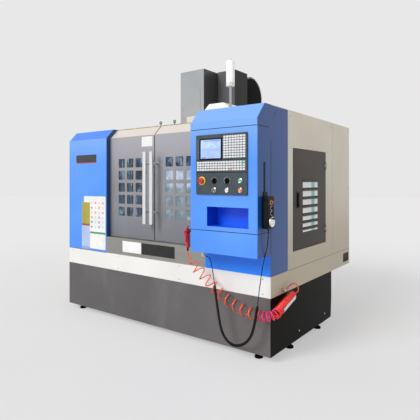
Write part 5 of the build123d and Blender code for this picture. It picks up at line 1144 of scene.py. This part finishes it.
# %% Pendant details
PENDANT_X, PENDANT_Y, WHEEL_Z, TICK_CIRCLE = 2245, -79, 958, 35.7
SKIRT = [(8, -0.2), (11.6, 0.1), (13.2, 0.9), (13.2, 4.2), (10.6, 4.6), (10.4, 3.0)]
skirts = [(PENDANT_X, PENDANT_Y, 1046), (PENDANT_X, PENDANT_Y, 1014)]
turned("pendant_skirts", SKIRT, "right", skirts, anodised, count=32)
CAP = [(12.7, -0.2), (12.7, 3.0), (13.6, 3.4), (15.6, 2.4), (16.2, -0.2)]
cap_place = (PENDANT_X - 0.2, PENDANT_Y, 1083)
turned("pendant_stop_collar", CAP, "right", [cap_place], abs_yellow, count=32)
SCALE = [(33.6, -0.2), (33.8, 3.6), (35.5, 4.4), (37.6, 3.2), (38.2, 0.2), (38.2, -0.2)]
wheel_place = (PENDANT_X, PENDANT_Y, WHEEL_Z)
turned("pendant_scale_ring", SCALE, "right", [wheel_place], motor_black, count=64)
tick = plate_grid(0.8, 3.2, 0.5, 0.3, 0.1)
ticks = strokes(tick, TICK_CIRCLE, np.radians(np.arange(0, 360, 14.4)))
ticks = turned_to(ticks, "right", [(PENDANT_X + 4.0, PENDANT_Y, WHEEL_Z)])
surface("pendant_scale_marks", ticks, "frame", bare_foil)
grip = plate_grid(30, 150, 2.2, 8, 1.0)
for side, facing in ((-119, "front"), (-39, "back")):
    grids = turned_to(grip, facing, [(2225, side, 1010)])
    surface(f"pendant_grip_{facing}", grids, "frame", rubber)
CRANK_HAT = [(0, 16.4), (4.2, 16.4), (6.4, 15.0), (6.9, 12.0), (5.6, 6.0), (5.2, 1.0)]
crank_place = (2254, PENDANT_Y, 979)
turned("pendant_crank_grip", CRANK_HAT, "right", [crank_place], abs_black, "pendant_handwheel")
print("strokes on the pendant's scale", len(ticks))

# %% [markdown]
# ## Louvres of the electrical door
# Seven slots with a pale filter behind them. Each slot has a folded lip over it, like a small
# awning. The slots grow narrower downwards. The filter and the ground are one thin sheet, whose
# bars come from tests on Z, and a lip is a profile in X and Z carried along Y.

# %% Filter sheet and lips
SLOT_TOPS = (1218, 1150, 1085, 1021, 957, 903, 853)
SLOT_HEIGHTS = (48, 47, 46, 45, 36, 33, 27)
filter_sheet, shader, where = blank(
    "filter_mat_behind_slots", Roughness=0.5, IOR=1.5, Specular_IOR_Level=0.2
)
soft = (gradual(where, "Y", 650, 680), gradual(where, "Y", 745, 715))
mat = layered(
    where,
    "#FFFFFF",
    ("#F2F8F8", pattern(where, 6, 2, (1, 0.3, 1)), 0.3, 0.7),
    ("#9CCFCC", combined(where, "MULTIPLY", *soft)),
)
tone = layered(
    where,
    "#453D37",
    ("#3A322D", pattern(where, 320), 0.3, 0.7),
    *((mat, (("Z", top - tall, top), ("Y", 505, 791))) for top, tall in zip(SLOT_TOPS, SLOT_HEIGHTS)),
)
linked(shader, Base_Color=tone)
bumped(shader, pattern(where, 4), 0.15, 0.3)
sheet = turned_to(plate_grid(304, 400, 2.2, 6, 0.5), "right", [(WIDTH - 1.5, 648, 1032)])
surface("louvre_filter", sheet, "cabinet_door", filter_sheet)
fold = np.array(
    [(0.4, 7), (1.6, 6.5), (6.0, -1.5), (6.6, -4.5), (5.8, -5.0), (5.0, -1.5), (0.4, 5.0)]
)
run = np.linspace(502, 794, 9)[:, None] + 0 * fold[None, :, 0]
lips = []
for top in SLOT_TOPS:
    body = np.stack([WIDTH + fold[:, 0] + 0 * run, run, top + fold[:, 1] + 0 * run], axis=-1)
    ends = body[[0, -1]].mean(axis=1, keepdims=True) + 0 * body[[0, -1]]
    lips.append(np.concatenate([ends[:1], body, ends[1:]]))
surface("louvre_lips", lips, "cabinet_door", louvre_coat)
print("louvre lips", len(lips))

# %% [markdown]
# ## Magazine rim, latch and lamp
# The tool magazine's disc holds a pot in each of its fourteen places, closed by a bright
# retaining cap. A flat cover closes the disc, with its round rim outside the pots and bright
# dots along it. The electrical door's latch has a silver key barrel, and the lamp's lens stands
# on a white base, on a bright pole, under a dark cap.


# %% Magazine disc, key barrel and lamp
DISC_Y, DISC_Z, POT_CIRCLE, DOT_CIRCLE = 1070, 2040, 163, 184


def ring_of(radius, count, x):
    """Points round the disc's axis, evenly spaced."""
    angle = np.radians(np.arange(count) * 360 / count)
    flat = [x + 0 * angle, DISC_Y + radius * np.cos(angle), DISC_Z + radius * np.sin(angle)]
    return np.stack(flat, axis=1)


disc_face = (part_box("magazine_disc")[1].x - CORNER[0]) * 1000
on_disc = {"facing": "right", "body": "magazine_disc"}
POT = [(0, 3.0), (5.0, 3.0), (8.5, 2.4), (10.8, 0.8), (11.4, -0.6)]
pots = ring_of(POT_CIRCLE, 14, disc_face)
turned("pot_caps", POT, centres=pots, material=plated_steel, count=20, **on_disc)
BARREL = [(0, 3.4), (2.0, 3.4), (5.6, 3.2), (7.4, 2.2), (7.8, -0.4)]
turned("latch_key_barrel", BARREL, "right", [(WIDTH + 3, 434, 1036)], plated_steel, "cabinet_door")
COVER = [(0, 3.0), (150, 3.0), (190.5, 2.6), (192.6, 1.4), (192.6, -1.0), (190, -1.4), (0, -1.4)]
middle = [(disc_face + 1.6, DISC_Y, DISC_Z)]
turned("disc_cover", COVER, centres=middle, material=motor_black, count=96, **on_disc)
DOT = [(0, 2.2), (4.4, 2.2), (6.0, 1.2), (6.6, -0.4)]
dots = ring_of(DOT_CIRCLE, 42, disc_face + 4.2)
turned("disc_rim_dots", DOT, centres=dots, material=plated_steel, count=8, **on_disc)
print("disc's face at X", round(disc_face))

LAMP_X, LAMP_Y = 1778, 150
LAMP_BASE = [(9.4, 0), (20, 0.4), (30.5, 3), (33, 8), (33.4, 26), (32.2, 27), (31.8, 27)]
turned("lamp_base", LAMP_BASE, "top", [(LAMP_X, LAMP_Y, 1932)], abs_white, count=48)
LAMP_CROWN = [(0, 6.0), (9, 6.0), (13.5, 4.6), (15.0, 0.6), (15.0, -0.4)]
turned("lamp_crown", LAMP_CROWN, "top", [(LAMP_X, LAMP_Y, 2127)], motor_black, count=32)

# %% [markdown]
# ## Hose fittings and the label on its turns
# The hose leaves the gun through a short tapered sleeve, which is a turned profile along the
# hose. A blank paper strip is wrapped part of the way round the close turns: its grid runs
# along the coil and round an arc a little outside them.

# %% Sleeve and the blank strip
SLEEVE = [(4.2, 26), (5.0, 25.4), (6.2, 12), (8.0, 2.0), (8.2, -0.4), (4.2, -0.4)]
turned("gun_sleeve", SLEEVE, "down", [(1614, -153, 744.2)], motor_black)
coil_from, coil_to = np.array((2243, 22, 357.0)), np.array((2240, 262, 424.0))
coil = coil_to - coil_from
along = coil / np.linalg.norm(coil)
outward = np.array((1.0, 0, 0)) - along * along[0]
outward /= np.linalg.norm(outward)
upward = np.cross(outward, along)
upward *= np.sign(upward[2])
spine = coil_from + np.linspace(0.12, 0.86, 12)[:, None, None] * coil
arc = np.radians(np.linspace(-62, 18, 15))[None, :, None]
ring = np.cos(arc) * outward + np.sin(arc) * upward
STRIP_INNER, STRIP_OUTER = 32.6, 33.4
inner, outer = spine + STRIP_INNER * ring, spine + STRIP_OUTER * ring
band = np.concatenate([outer, inner[:, ::-1]], axis=1)
ends = band[[0, -1]].mean(axis=1, keepdims=True) + 0 * band[[0, -1]]
band = np.concatenate([ends[:1], band, ends[1:]])
surface("hose_paper_strip", [band], "frame", bare_foil)
print("close turns over", round(float(np.linalg.norm(coil))), "mm")

# %% [markdown]
# ## Floor, lamps and room
# The picture is lit as in a studio: one large soft key from the front left, a weak fill from the
# right and a pale room. The room is white to the camera, to gloss and to glass, and gives the
# surfaces only a plain level of light. The floor is one big sheet with the same pale tone, more
# so with the distance from the machine, so that floor and room meet with no edge. Its shadow
# stays.


# %% Floor
def seen_rays(near):
    """1 for the camera, for gloss and for glass, and 0 for the light that falls on things."""
    path = add(near, "ShaderNodeLightPath").outputs
    rays = ("Is Camera Ray", "Is Glossy Ray", "Is Transmission Ray")
    return combined(near, "MAXIMUM", *(path[ray] for ray in rays))


paper, shader, where = blank("studio_paper", Roughness=0.9)
tone = layered(where, "#EBEBEB", ("#EEEEEE", pattern(where, 900), 0.3, 0.7))
linked(shader, Base_Color=tone)
centred = add(where, "ShaderNodeMapping", {"Vector": where, "Scale": (1, 1, 0)})
away = add(where, "ShaderNodeVectorMath", {0: centred.outputs[0]}, operation="LENGTH")
fade = {"Value": away.outputs["Value"], 1: 1.3, 2: 6.0, 3: 0.5, 4: 1.0}
paleness = add(where, "ShaderNodeMapRange", fade).outputs[0]
share = combined(where, "MULTIPLY", seen_rays(where), paleness)
glow = add(where, "ShaderNodeEmission", {"Color": colour("#EBEAEA"), "Strength": 1.0})
shaders = {0: share, 1: shader.outputs[0], 2: glow.outputs[0]}
blended = add(where, "ShaderNodeMixShader", shaders)
linked(where.id_data.nodes["Material Output"], Surface=blended.outputs[0])
FLOOR_REACH, FLOOR_DROP = 30000, 0.5
steps = np.linspace(-FLOOR_REACH, FLOOR_REACH, 9)
across, deep = np.meshgrid(steps, steps, indexing="ij")
sheet = np.stack([across, deep, 0 * across - FLOOR_DROP], axis=-1)
floor = surface("studio_floor", [sheet], "frame", paper, closed=False, smooth=False)
floor.parent = None
del floor["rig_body"]
floor["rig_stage"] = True
print("floor reaches", FLOOR_REACH / 1000, "m each way")

# %% Lamps and world
# A machine like this has a lamp under its roof, which shows the work area through the windows.
for name, kind, watts, turn, at, sizes in (
    ("key", "SUN", 2.3, (56, 0, -16), None, {"angle": np.radians(28)}),
    ("fill", "SUN", 0.4, (62, 0, 72), None, {"angle": np.radians(60)}),
    ("work_lamp", "AREA", 14, (28, 0, 0), (1330, 330, 1620), {"size": 0.7, "size_y": 0.12}),
):
    light = bpy.data.lights.new(name, kind)
    light.energy = watts
    if kind == "AREA":
        light.shape = "RECTANGLE"
    for field, value in sizes.items():
        setattr(light, field, value)
    lamp = bpy.data.objects.new(name, light)
    lamp.rotation_euler = tuple(np.radians(turn))
    if at:
        lamp.location = place(at)
    bpy.context.scene.collection.objects.link(lamp)
    print("lamp", name, watts)

ROOM_LIGHT = 0.42
world = bpy.data.worlds.new("studio_room")
world.use_nodes = True
bpy.context.scene.world = world
backdrop = world.node_tree.nodes["Background"]
backdrop.inputs["Color"].default_value = colour("#E9E8E8")
limits = {"Value": seen_rays(backdrop), 1: 0.0, 2: 1.0, 3: ROOM_LIGHT, 4: 1.0}
level = add(backdrop, "ShaderNodeMapRange", limits)
linked(backdrop, Strength=level.outputs[0])

# %% [markdown]
# ## Sizes
# The sizes of the CAD box and of the dressed model are set side by side, and the last line
# prints how far the dressed model reaches past the CAD box.

# %% Sizes and finish
low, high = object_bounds()
sizes = {
    "cad": [list(cad_low), list(cad_high)],
    "visual": [list(low), list(high)],
}
print("grown by", np.round(np.array(cad_low) - low, 4), np.round(np.array(high) - cad_high, 4))
